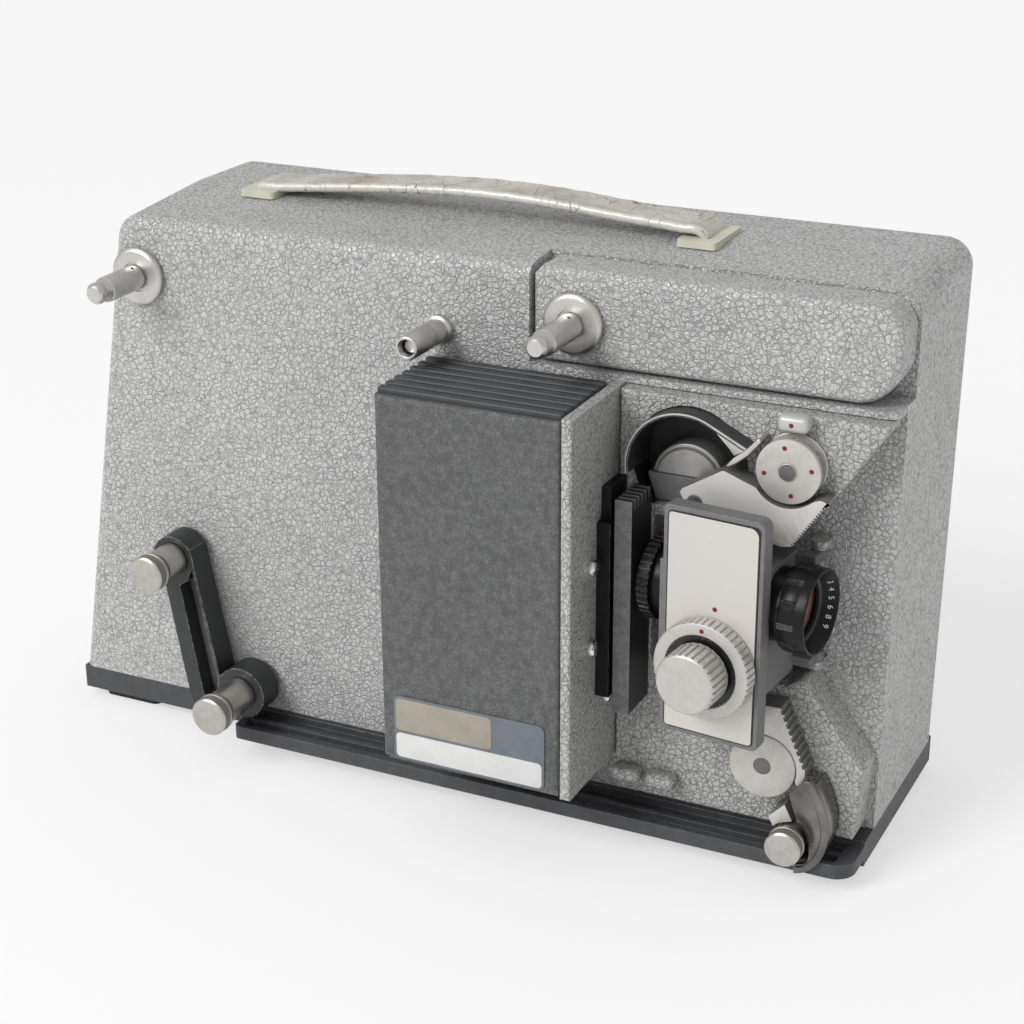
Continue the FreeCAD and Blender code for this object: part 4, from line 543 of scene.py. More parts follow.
stub = lathe("storage_post", at(217.5, 0, 232.4), FRONTWARD,
             [(0, 0), (0, 7.2), (2.6, 7.2), (3, 6.9), (3.4, 5.75), (12, 5.75), (12.3, 5.6), (12.6, 5.75),
              (31.6, 5.7), (32.3, 5.3), (32.5, 4.9), (32.5, 4.3), (32.2, 3.95), (18.5, 3.9), (18.5, 0)],
             TURNED_STEEL)
fit(stub, "chassis", "bare_steel", "storage_stub")
stub_core = lathe("storage_post_core", at(217.5, 0, 232.4), FRONTWARD,
                  [(18, 0), (18, 3.2), (27.6, 3.2), (28.2, 2.9), (28.4, 2.4), (28.0, 0)], TURNED_STEEL)
fit(stub_core, "chassis", "bare_steel")


# Rollers and the tension arm

def knurled_roller(name, x, z, back, front, radius, bore, body):
    """A film roller: a chamfered face, a knurled band, a ring and a groove, with a plain drum behind."""
    head = front - back
    band, ring = 0.9, 5.4
    drum_r = radius - 1.2
    profile = [(0, 0), (0, radius - 1.1), (0.15, radius - 0.8), (band, radius - 0.1), (band, radius - 0.9),
               (ring, radius - 0.9), (ring + 0.6, radius - 0.5), (ring + 0.8, radius),
               (ring + 1.6, radius), (ring + 1.9, radius - 0.4), (ring + 2.0, radius - 2.4),
               (ring + 4.4, radius - 2.4), (ring + 4.6, drum_r - 0.1), (ring + 4.9, drum_r),
               (-head - 0.4, drum_r), (-head, drum_r - 0.4), (-head, bore), (6, bore), (6, 0)]
    roller = lathe(name + "_turned", at(x, front, z), -FRONTWARD, profile, KNURLED_STEEL, 96)
    fit(roller, body, "knurled_steel", name)
    steps = 24
    rows = [(band + (ring - band) * k / steps, radius) for k in range(steps + 1)]
    per = 6
    count = round(2 * math.pi * radius / 1.15)
    # The knurled band takes the darker material: painted shade of its grooves.
    knurled = lathe(name + "_knurl", at(x, front, z), -FRONTWARD, [(band, radius - 1)] + rows + [(ring, radius - 1)],
                    KNURL_PAINTED_SHADE, count * per, ripple=diamond(count, 0.5, band - 0.1, ring + 0.1, per))
    fit(knurled, body, "knurled_steel")


knurled_roller("lower_roller", 109.5, 32, -18, -47, 9.9, 4.05, "lower_roller")
knurled_roller("upper_roller", 74, 99.5, -18, -42, 9.6, 2.55, "upper_roller")
knurled_roller("exit_roller", 401.3, 24, -12, -33, 8.5, 2.55, "exit_roller")

channel_floor = slab("lever_channel_floor", [(87.5, 26), (98.8, 26), (84.4, 98), (83.2, 98), (82.6, 89), (77, 85.5)],
                     -7.6, -8.5, CARRIER_PAINT, 0.2)
fit(channel_floor, "tension_arm", "grey_enamel")


# Film path on the deck

UPPER = (391.6, 197.5)
LOWER = (386.3, 56.6)
LOOP = (343.4, 189.2)
GUIDE_FRONT = -19.5
DECK_FACE = -8

chamber_floor = lathe("chamber_liner", at(LOOP[0], 8.9, LOOP[1]), FRONTWARD,
                      [(0, 0), (0, 26.95), (16.6, 26.95), (16.6, 26.7), (0.3, 26.7), (0.3, 0)], CHAMBER_BLACK, 128)
carve(chamber_floor, [block("liner_trim", (LOOP[0] - 40, -30, LOOP[1] - 60), (LOOP[0] + 40, 30, LOOP[1] - 20.9),
                            CHAMBER_BLACK, 0)])
fit(chamber_floor, "chassis", "black_plastic")

drum = lathe("loop_drum_turned", at(LOOP[0] - 3, 9, LOOP[1] - 10), FRONTWARD,
             [(0, 0), (0, 17), (9.2, 17), (9.9, 16.7), (10.2, 16.1), (10.2, 15.4), (9.9, 15.2), (10.9, 14.9),
              (11.4, 14.4), (11.5, 13.6), (11.5, 0)], DRUM_SATIN, 128)
carve(drum, [block("drum_trim", (LOOP[0] - 40, -30, LOOP[1] - 60), (LOOP[0] + 40, 30, LOOP[1] - 7.5), DRUM_SATIN, 0)])
fit(drum, "chassis", "light_metal", "film_loop_drum")

loop_floor = slab("loop_floor", [(322, 181.2), (349, 181.2), (349, 169), (326, 169)], 8.6, -3.5, CARRIER_PAINT, 0.3)
fit(loop_floor, "chassis", "grey_enamel")

# The strip's front edge is rubbed bright, and its tail ends in a bare triangle
RIM_TURNS = [math.radians(190 - 126 * k / 28) for k in range(29)]
RIM_R = 26.7
rim_line = [(LOOP[0] + RIM_R * math.cos(t), LOOP[1] + RIM_R * math.sin(t)) for t in RIM_TURNS]
rim_back = [(LOOP[0] + (RIM_R - 0.8) * math.cos(t), LOOP[1] + (RIM_R - 0.8) * math.sin(t)) for t in RIM_TURNS]
bright_rim = slab("shroud_rim", rim_line + [(372.4, 204.7), (371.9, 203.6)] + rim_back[::-1], -17.8, -18.3,
                  SHROUD_EDGE, 0.15)
fit(bright_rim, "chassis", "light_metal")
tail_end = slab("shroud_tail_end", [(358.6, 209.6), (371.4, 203.2), (367.0, 200.6), (364.8, 203.4)], -17.2, -18.1,
                SHROUD_EDGE, 0.2)
fit(tail_end, "chassis", "light_metal")

# The film pin's visible end is drawn out into a slim bent finger that keeps the loop off the guide
finger = slab("film_finger", [(363.6, 196.0), (364.6, 194.9), (368.4, 197.2), (373.6, 201.6), (376.6, 205.4),
                              (379.2, 209.0), (378.2, 210.3), (376.9, 209.3), (373.9, 205.9), (371.0, 203.0),
                              (367.2, 200.2)], DECK_FACE + 3, -19, TURNED_STEEL, 0.6, steps=3)
fit(finger, "chassis", "bare_steel", "film_pin")


def sprocket(name, centre, front_disc):
    """A film sprocket: teeth between two discs, on a shaft with its belt pulley far behind."""
    x, z = centre
    face = -GUIDE_FRONT
    profile = [(-52, 0), (-52, 9), (-46, 9), (-46, 4), (8.6, 4), (8.6, 14.2), (9.0, 14.5), (9.8, 14.5),
               (10.1, 14.1), (10.1, 11), (face - 2.6, 11)]
    if front_disc:
        profile += [(face - 2.6, 14.0), (face - 2.3, 14.4), (face - 0.6, 14.45), (face - 0.15, 14.2),
                    (face, 13.7), (face, 4.3), (face - 0.35, 4.15), (face - 0.35, 4.0)]
    else:
        profile += [(face - 2.6, 4.0)]
    profile += [(face + 0.3, 4.0), (face + 0.55, 3.7), (face + 0.6, 3.2), (face + 0.6, 0)]
    wheel = lathe(name + "_turned", at(x, 0, z), FRONTWARD, profile, DISC_FACE, 96)
    teeth = []
    count = 18
    for k in range(count):
        turn = 2 * math.pi * (k + 0.5) / count
        spot = (x + 11 * math.cos(turn), z + 11 * math.sin(turn))
        tooth = block("%s_tooth_%d" % (name, k), (-0.7, -0.8, -1), (0.7, 0.8, 2.3), KNURLED_STEEL, 0.3,
                      place=lambda a, b, d: Vector((a, b, d)) * MM)
        tooth.data.transform(Matrix.Translation(at(spot[0], -13.5, spot[1]))
                             @ Matrix.Rotation(math.pi / 2 - turn, 4, "Y"))
        teeth.append(tooth)
    fit(joined(name + "_teeth", teeth), name, "light_metal")
    fit(wheel, name, "light_metal", name)


sprocket("upper_sprocket", UPPER, True)
sprocket("lower_sprocket", LOWER, False)
axle = lathe("sprocket_axle_end", at(UPPER[0], GUIDE_FRONT - 0.6, UPPER[1]), FRONTWARD,
             [(-0.2, 0), (-0.2, 3.75), (0.02, 3.7), (0.05, 3.5), (0.03, 0)], DARK_STEEL, 48)
fit(axle, "upper_sprocket", "bare_steel")
for k in range(4):
    turn = math.radians(10 + 90 * k)
    spot = at(UPPER[0] + 10.6 * math.cos(turn), GUIDE_FRONT, UPPER[1] + 10.6 * math.sin(turn))
    fit(disc_dot("sprocket_mark_%d" % k, spot, FRONTWARD, 1.05), "upper_sprocket", "light_metal")

tab_left, tab_low = UPPER[0] - 7, 213.5
tab = block("index_tab_block", (tab_left, DECK_FACE - 8.5, tab_low), (tab_left + 13.8, DECK_FACE, 221), TAB_SILVER,
            2.6, steps=5)
fit(tab, "chassis", "light_parts", "index_tab")
fit(disc_dot("index_mark", at(tab_left + 6.6, DECK_FACE - 8.5, 217.2), FRONTWARD, 1.05), "chassis", "light_parts")


def arc_points(centre, radius, first, last, steps):
    turns = [math.radians(first + (last - first) * k / steps) for k in range(steps + 1)]
    return [(centre[0] + radius * math.cos(t), centre[1] + radius * math.sin(t)) for t in turns]


def toothed_edge(first, last, teeth, proud, share=0.5):
    """Points of a serrated edge from one place to another, standing out to its right."""
    run = (last[0] - first[0], last[1] - first[1])
    length = math.hypot(*run)
    side = (-run[1] / length * proud, run[0] / length * proud)
    points = []
    for k in range(teeth):
        for part, out in ((k, 0), (k, 1), (k + share, 1), (k + share, 0)):
            share_along = part / teeth
            points.append((first[0] + run[0] * share_along + side[0] * out,
                           first[1] + run[1] * share_along + side[1] * out))
    return points


x, z = UPPER
guide_outline = ([(x - 48, z - 16.5), (x - 47, z - 14.8), (x - 29.6, z - 4.2), (x - 28.2, z - 3.7), (x - 26.6, z - 4.2)]
                 + arc_points(UPPER, 16.2, 214, 306, 16) + [(x + 12.5, z - 11), (x + 15.4, z - 10.2)]
                 + toothed_edge((410.3, 186.3), (394.8, 163.9), 18, -0.8)
                 + [(x - 1, z - 34), (x - 43, z - 26)])
upper_guide = slab("upper_guide_plate", guide_outline, DECK_FACE - 0.6, GUIDE_FRONT - 0.6, GUIDE_FACE, 0.25)
fit(upper_guide, "upper_guide", "light_parts", "upper_film_guide")
guide_pivot = lathe("upper_guide_screw", at(x - 41, GUIDE_FRONT - 0.6, z - 20), FRONTWARD,
                    [(-1, 0), (-1, 3.4), (0.7, 3.4), (1.0, 3.1), (1.0, 0)], DARK_STEEL, 40)
fit(guide_pivot, "upper_guide", "light_parts")

x, z = LOWER
shoulder_outline = ([(x - 3, z + 15.0), (x - 3, z + 30.6), (x + 7.4, z + 30.6)]
                    + toothed_edge((x + 8.2, z + 29.8), (x + 20.4, z + 1.8), 9, -1.0, 0.62)
                    + [(x + 20.2, z - 1), (x + 17.4, z - 6.6), (x + 15.8, z - 5.2)]
                    + arc_points(LOWER, 16.1, -14, 92, 14))
shoulder = slab("lower_guide_shoulder", shoulder_outline, DECK_FACE - 0.8, GUIDE_FRONT - 0.8, GUIDE_FACE, 0.22)
fit(shoulder, "lower_guide", "light_parts", "lower_film_guide")
guide_disc = lathe("lower_guide_disc", at(x, GUIDE_FRONT + 1.4, z), FRONTWARD,
                   [(0, 4.1), (0, 15.4), (0.3, 15.6), (1.6, 15.6), (1.9, 15.4), (2.1, 15.0), (2.15, 4.6), (2.0, 4.1)],
                   DISC_FACE, 96, closed=True)
fit(guide_disc, "lower_guide", "light_parts")
lower_axle = lathe("lower_axle_end", at(x, GUIDE_FRONT - 0.6, z), FRONTWARD,
                   [(-0.5, 0), (-0.5, 3.95), (0.05, 3.9), (0.12, 3.6), (0.1, 0)], DARK_STEEL, 48)
fit(lower_axle, "lower_sprocket", "bare_steel")


# The exit guide: a curved polished arm, the small light shoe and the two blocks at the deck's foot

EXIT = (401.3, 24)
x, z = EXIT


def smooth_line(points, steps=4):
    """More points along a line, bent softly through the ones given."""
    line = []
    ends = [points[0]] + list(points) + [points[-1]]
    for before, first, last, after in zip(ends, ends[1:], ends[2:], ends[3:]):
        for k in range(steps):
            t = k / steps
            line.append(tuple(0.5 * (2 * q + (r - p) * t + (2 * p - 5 * q + 4 * r - m) * t * t
                                     + (3 * q - p - 3 * r + m) * t ** 3)
                              for p, q, r, m in zip(before, first, last, after)))
    return line + [points[-1]]


ARM_FRONT, RIM_TALL = -23.8, 1.2
rim_outer = [(407, 55.8), (410.8, 56.4), (414, 51.5), (416.6, 45.5), (418.9, 38.5), (419.8, 32), (419.3, 25.5),
             (417.3, 19), (413.8, 13.8), (409, 10), (404.5, 8.6)]
rim_inner = [(405, 12.2), (408.3, 13.0), (411.4, 16.0), (414.2, 20.8), (415.8, 26.4), (416.2, 32), (415.4, 37.6),
             (413.2, 44), (410.7, 49.2), (408.2, 52.4)]
face_inner = [(404, 12.5), (409.8, 14.5), (411, 19), (410.6, 24), (409, 29.5), (405.5, 34), (403, 40), (401, 46),
              (400.5, 47.5)]
wall_inner = [(415, 15.9), (416.4, 19.4), (418.2, 25.8), (418.6, 32), (417.7, 38.1), (415.4, 45), (412.9, 50.6),
              (411.2, 53.6)]
wall_outer = [(412.2, 54.4), (414, 51.5), (416.6, 45.5), (418.9, 38.5), (419.8, 32), (419.3, 25.5), (417.3, 19),
              (415.9, 16.1)]
arm_face = slab("exit_arm_face", smooth_line(rim_outer) + smooth_line(face_inner), ARM_FRONT + 1.6, ARM_FRONT,
                POLISHED_DARK, 0.35)
arm_rim = slab("exit_arm_rim", smooth_line(rim_outer) + smooth_line(rim_inner), ARM_FRONT + 0.2,
               ARM_FRONT - RIM_TALL, POLISHED_DARK, 0.5, steps=3)
arm_wall = slab("exit_arm_wall", smooth_line(wall_inner) + smooth_line(wall_outer), DECK_FACE, ARM_FRONT + 0.8,
                POLISHED_DARK, 0.3)
fit(joined("exit_arm", [arm_face, arm_rim, arm_wall]), "chassis", "bare_steel", "exit_guide_arm")
shoe = slab("exit_shoe", [(390.8, 33.3), (398.2, 40.9), (402.2, 33.0), (396.2, 31.0), (393, 28.5)],
            DECK_FACE, -22, GUIDE_FACE, 0.5)
fit(shoe, "chassis", "light_parts", "deck_film_blocks")
for k, left in enumerate((311, 328.5)):
    foot_block = block("deck_block_%d" % k, (left, DECK_FACE - 8, 30), (left + 14, DECK_FACE, 37), DECK_ENAMEL, 2.2,
                       steps=4)
    fit(foot_block, "chassis", "deck_enamel")


# Lamp house: louvre ribs and the bare three-zone plate

LAMP_LEFT, LAMP_RIGHT, LAMP_LOW, LAMP_HIGH, LAMP_FRONT = 215, 304.3, 41.5, 219, -59
slats = []
RIB_PITCH = 7.4
for k in range(7):
    back = -7.2 - RIB_PITCH * k
    slats.append(block("rib_slat_%d" % k, (LAMP_LEFT + 0.3, back - 4.4, LAMP_HIGH - 1.4),
                       (LAMP_RIGHT - 0.4, back, LAMP_HIGH + 3), RIB_PAINT, 1.3, steps=4))
slats.append(block("rib_bed", (LAMP_LEFT + 1.5, LAMP_FRONT + 3.2, LAMP_HIGH - 1.6),
                   (LAMP_RIGHT - 1.5, -7.5, LAMP_HIGH - 0.2), RIB_PAINT, 0.2))
fit(joined("louvre_ribs", slats), "lamp_cover", "black_enamel", "cooling_ribs")


def rounded_box(left, right, low, high, radius, steps=5):
    corners = ((right - radius, high - radius, 0), (left + radius, high - radius, 90),
               (left + radius, low + radius, 180), (right - radius, low + radius, 270))
    points = []
    for cx, cz, start in corners:
        points += arc_points((cx, cz), radius, start, start + 90, steps)
    return points


plate_left, plate_right = LAMP_LEFT + 6.3, LAMP_RIGHT - 6.7
plate_low, plate_high = LAMP_LOW + 1, LAMP_LOW + 33.3
plate_middle = plate_low + 13.6
plate_split = plate_left + 50
plate = slab("plate_bed", rounded_box(plate_left, plate_right, plate_low, plate_high, 3.2), LAMP_FRONT,
             LAMP_FRONT - 0.7, PANEL_BLUE, 0.2)
fit(plate, "lamp_cover", "name_plate", "name_plate")
zones = (("plate_zone_white", (plate_left + 1.2, plate_right - 1.2, plate_low + 1.2, plate_middle), PANEL_WHITE),
         ("plate_zone_beige", (plate_left + 1.2, plate_split, plate_middle + 1.4, plate_high - 1.2), PANEL_BEIGE))
for name, sides, material in zones:
    zone = slab(name, rounded_box(*sides, 2.2), LAMP_FRONT - 0.6, LAMP_FRONT - 0.9, material, 0.08)
    fit(zone, "lamp_cover", "name_plate")


# Gate: its block, and the pan-head screws of gate and rear cover

OPTIC_Y, OPTIC_Z = -14, 137.5
WALL_RIGHT = LAMP_RIGHT + 5.2
gate_mesh = NODES["film_gate"].data
gate_mesh.materials.clear()


def gate_block_finish():
    """Black on its sides, with the mottled grey of rubbed metal on the face towards the operator."""
    f = Finish("gate_block", (0.02, 0.02, 0.02), 0.45)
    cloud = f.ramp(f.noise(330, 5, 0.75), (0.34, 0.0), (0.66, 1.0))
    front = f.facing((0, -1, 0))
    worn = f.mix(cloud, (0.075, 0.077, 0.08), (0.15, 0.15, 0.152))
    normal = f.eased(0.0004)
    body = f.mix(front, (0.016, 0.016, 0.017), worn)
    f.set("Base Color", f.mix(f.edges(normal), body, (0.26, 0.25, 0.24)))
    f.set("Normal", f.bump(f.noise(900, 3), 0.00006, 0.6, normal))
    return f.material


gate_mesh.materials.append(gate_block_finish())


def pan_screw(name, spot, axis, radius, tall, tilt):
    """A domed pan head with its slot."""
    profile = [(-1, 0), (-1, radius - 0.5), (0, radius), (tall * 0.45, radius), (tall * 0.75, radius * 0.93),
               (tall * 0.93, radius * 0.75), (tall, radius * 0.4), (tall, 0)]
    head = lathe(name, spot, axis, profile, SCREW_CHROME, 48)
    slot = block(name + "_cut", (-5, -0.45, tall - 0.9), (5, 0.45, tall + 2), SCREW_CHROME, 0,
                 place=lambda a, b, d: Vector((a, b, d)) * MM)
    slot.matrix_world = head.matrix_world @ Matrix.Rotation(math.radians(tilt), 4, "Z")
    bpy.context.view_layer.update()
    return carve(head, [slot])


GATE_SCREWS = ((-38, OPTIC_Z + 8.5, 20), (-38, OPTIC_Z - 30.5, 75), (-20, OPTIC_Z - 61.5, 40))
COVER_SCREWS = ((30, 40, 10), (405, 40, 60), (66, 245, 120), (405, 245, 35))
CASE_DEEP = 114
heads = [pan_screw("gate_screw_%d" % k, at(WALL_RIGHT, y, z), Vector((1, 0, 0)), 3.8, 3.7, tilt)
         for k, (y, z, tilt) in enumerate(GATE_SCREWS)]
heads += [pan_screw("cover_screw_%d" % k, at(x, CASE_DEEP, z), -FRONTWARD, 4.5, 2.4, tilt)
          for k, (x, z, tilt) in enumerate(COVER_SCREWS)]
fit(joined("pan_screws", heads), "chassis", "screw_chrome", "screws")


# Lens carrier: thin black sheets of painted shade in its gaps, framing ring, focus knob and marks

CARRIER = (347, 394, 76.5, 183)
PLATE_Y = -38
KNOB = (370.2, 112.8)
# A thin black sheet just larger than the face plate: painted shade for the gap round the plate, seen as a dark line.
gap_shade_sheet = slab("face_gap_shade_sheet", rounded_box(CARRIER[0] + 1.8, CARRIER[1] - 1.8, CARRIER[2] + 1.8, CARRIER[3] - 2.3, 2.4),
              PLATE_Y + 0.1, PLATE_Y - 0.3, BLACK_GLOSS, 0.05, place=toed)
fit(gap_shade_sheet, "lens_carrier", "black_plastic")
carve_place = toed(KNOB[0], PLATE_Y, KNOB[1])
carve(gap_shade_sheet, [lathe("gap_shade_sheet_hole", carve_place, FRONTWARD, [(-3, 0), (-3, 6.3), (3, 6.3), (3, 0)], BLACK_GLOSS, 48)])
toe_front = Vector((math.sin(TOE_OUT), -math.cos(TOE_OUT), 0))

RING_BACK, RING_FRONT = -38.9, -47
ring_tall = RING_BACK - RING_FRONT
ring_profile = [(0, 6.05), (0, 22.0), (0.3, 22.5), (0.7, 22.7), (0.8, 22.7), (ring_tall - 1.0, 22.7),
                (ring_tall - 0.9, 22.7), (ring_tall - 0.3, 22.3), (ring_tall, 21.6), (ring_tall, 17.3),
                (ring_tall - 0.2, 17.0), (ring_tall - 1.5, 16.8), (ring_tall - 1.5, 6.05)]
framing_ring = lathe("framing_ring_knurled", toed(KNOB[0], RING_BACK, KNOB[1]), toe_front, ring_profile, DISC_FACE,
                     480, closed=True, ripple=knurl(0.74, 0.75, 0.75, ring_tall - 0.35))
fit(framing_ring, "framing_ring", "light_metal", "framing_ring")
# A thin black disc on the floor of the framing ring's front recess: painted shade for the gap behind the focus knob.
gap_shade_ring = lathe("framing_gap_shade_ring", toed(KNOB[0], RING_FRONT + 1.4, KNOB[1]), toe_front,
                 [(0, 6.1), (0, 16.7), (0.25, 16.7), (0.25, 6.1)], BLACK_GLOSS, 96, closed=True)
fit(gap_shade_ring, "framing_ring", "black_plastic")

KNOB_FRONT = -62
knob_tall = 14.7
knob_profile = [(0, 0), (0, 13.2), (0.3, 13.7), (0.7, 14.0), (0.8, 14.0), (knob_tall - 1.4, 14.0),
                (knob_tall - 1.3, 14.0), (knob_tall - 0.5, 13.5), (knob_tall, 12.7), (knob_tall, 0)]
knob = lathe("focus_knob_knurled", toed(KNOB[0], KNOB_FRONT + knob_tall, KNOB[1]), toe_front, knob_profile,
             DISC_FACE, 280, ripple=knurl(0.7, 0.85, 0.75, knob_tall - 0.55))
fit(knob, "focus_knob", "light_metal")
knob_shaft = lathe("focus_shaft", toed(KNOB[0], KNOB_FRONT + 14, KNOB[1]), -toe_front,
                   [(0, 0), (0, 4), (30, 4), (30, 7.6), (38, 7.6), (38, 0)], TURNED_STEEL, 48)
fit(knob_shaft, "focus_knob", "bare_steel", "focus_knob")
ring_mark = toed(KNOB[0] + 0.4, RING_FRONT, KNOB[1] + 19.3)
fit(disc_dot("framing_mark", ring_mark, toe_front, 1.05), "framing_ring", "light_metal")
plate_mark = toed(KNOB[0] + 2.2, PLATE_Y - 0.6, KNOB[1] + 26.6)
fit(disc_dot("carrier_mark", plate_mark, toe_front, 1.1), "lens_carrier", "plate_metal")


# Lens

LENS_START, LENS_END = 337, 397.5
lens_spot = toed(LENS_START, OPTIC_Y, OPTIC_Z)
lens_long = LENS_END - LENS_START
barrel = lathe("lens_barrel_turned", lens_spot, LENSWARD,
               [(0, 14.2), (0, 16.5), (lens_long - 1, 16.5), (lens_long - 0.5, 18.2), (lens_long, 18.9),
                (lens_long + 0.8, 18.9), (lens_long + 1.1, 19.3), (lens_long + 1.6, 19.6), (lens_long + 8.4, 19.6),
                (lens_long + 9.0, 19.3), (lens_long + 9.6, 19.3), (lens_long + 12.4, 19.45), (lens_long + 13.1, 19.3),
                (lens_long + 13.5, 18.9), (lens_long + 13.5, 18.3), (lens_long + 13.1, 17.9),
                (lens_long + 7.2, 14.6), (lens_long + 7.0, 14.2)],
               LENS_BLACK, 240, closed=True,
               ripple=lambda k, along, radius: -0.55 if lens_long + 1.5 < along < lens_long + 8.5
               and radius > 19 and (k % 20) in (0, 2, 4) else 0)
fit(barrel, "lens", "lens_black", "lens_barrel")
inner_rings = lathe("lens_throat", lens_spot, LENSWARD,
                    [(lens_long + 7.1, 14.25), (lens_long + 6.4, 13.3), (lens_long + 5.2, 13.3),
                     (lens_long + 5.0, 13.8), (lens_long + 4.6, 14.25)], BLACK_GLOSS, 96, closed=True)
fit(inner_rings, "lens", "lens_black")
rear_tall = 6
rear_ring = lathe("rear_ring_knurled", toed(LENS_START - 6, OPTIC_Y, OPTIC_Z), LENSWARD,
                  [(0, 12.4), (0, 18.9), (0.4, 19.3), (1.4, 19.6), (5.4, 19.6), (5.8, 19.3), (6, 18.8), (6, 12.4)],
                  LENS_BLACK, 400, closed=True, ripple=knurl(0.6, 0.7, 1.3, 5.5))
fit(rear_ring, "lens", "lens_black", "rear_lens_ring")


def dome(start, radius, swell, thick, steps=10):
    """A convex lens's profile: flat behind, bulging by swell in front."""
    curve = [(start + thick + swell * (1 - (k / steps) ** 2), radius * k / steps) for k in range(steps + 1)]
    return [(start, 0), (start, radius)] + curve[::-1]


front_glass = lathe("front_glass", lens_spot, LENSWARD, dome(lens_long + 2.2, 14.1, 2.6, 1.2), COATED_GLASS, 96)
fit(front_glass, "lens", "lens_glass", "lens_glass")
second_glass = lathe("second_glass", lens_spot, LENSWARD, dome(lens_long - 12, 13.4, 3.4, 2), COATED_GLASS, 96)
fit(second_glass, "lens", "lens_glass")
# A solid black disc across the barrel: painted shade for the dark inside of the lens.
inner_shade_disc = lathe("lens_inner_shade_disc", lens_spot, LENSWARD,
                  [(8, 0), (8, 14.1), (9, 14.1), (9, 0)], CHAMBER_BLACK, 64)
fit(inner_shade_disc, "lens", "lens_black")
rear_glass = lathe("rear_glass", toed(LENS_START - 4.8, OPTIC_Y, OPTIC_Z), LENSWARD,
                   [(0, 0), (-0.8, 4), (0, 12.3), (3, 12.3), (3, 0)], COATED_GLASS, 64)
fit(rear_glass, "lens", "lens_glass")


def lens_numeral(text, degrees):
    """One plain numeral on the lens's inner bevel, its foot towards the glass."""
    curve = bpy.data.curves.new("numeral", "FONT")
    curve.body = text
    curve.size = 3.6 * MM
    curve.extrude = 0.03 * MM
    curve.align_x = "CENTER"
    curve.align_y = "CENTER"
    letter = bpy.data.objects.new("numeral", curve)
    bpy.context.scene.collection.objects.link(letter)
    graph = bpy.context.evaluated_depsgraph_get()
    mesh = bpy.data.meshes.new_from_object(letter.evaluated_get(graph))
    bpy.data.objects.remove(letter)
    turn = math.radians(degrees)
    side = LENSWARD.cross(Vector((0, 0, 1))).normalized()
    out = (-side) * math.cos(turn) + Vector((0, 0, 1)) * math.sin(turn)
    slope = math.atan2(17.9 - 14.6, 5.9)
    along = lens_long + 10.6
    radius = 14.6 + (along - lens_long - 7.2) * math.tan(slope) - 0.12
    spot = lens_spot + LENSWARD * along * MM + out * radius * MM
    up = (out * math.sin(slope) + LENSWARD * math.cos(slope)).normalized()
    face = (-out * math.cos(slope) + LENSWARD * math.sin(slope)).normalized()
    right = up.cross(face).normalized()
    matrix = Matrix((right, up, face)).transposed().to_4x4()
    matrix.translation = spot
    mesh.materials.clear()
    mesh.materials.append(NUMERAL_WHITE)
    numeral = bpy.data.objects.new("lens_numeral", mesh)
    bpy.context.scene.collection.objects.link(numeral)
    numeral.matrix_world = matrix
    return numeral


numerals = [lens_numeral(text, degrees) for text, degrees in
            (("3", 30), ("4", 15), ("5", 0), ("6", -15), ("8", -30), ("9", -45))]
fit(joined("lens_numerals", numerals), "lens", "lens_black")


# Carrying strap

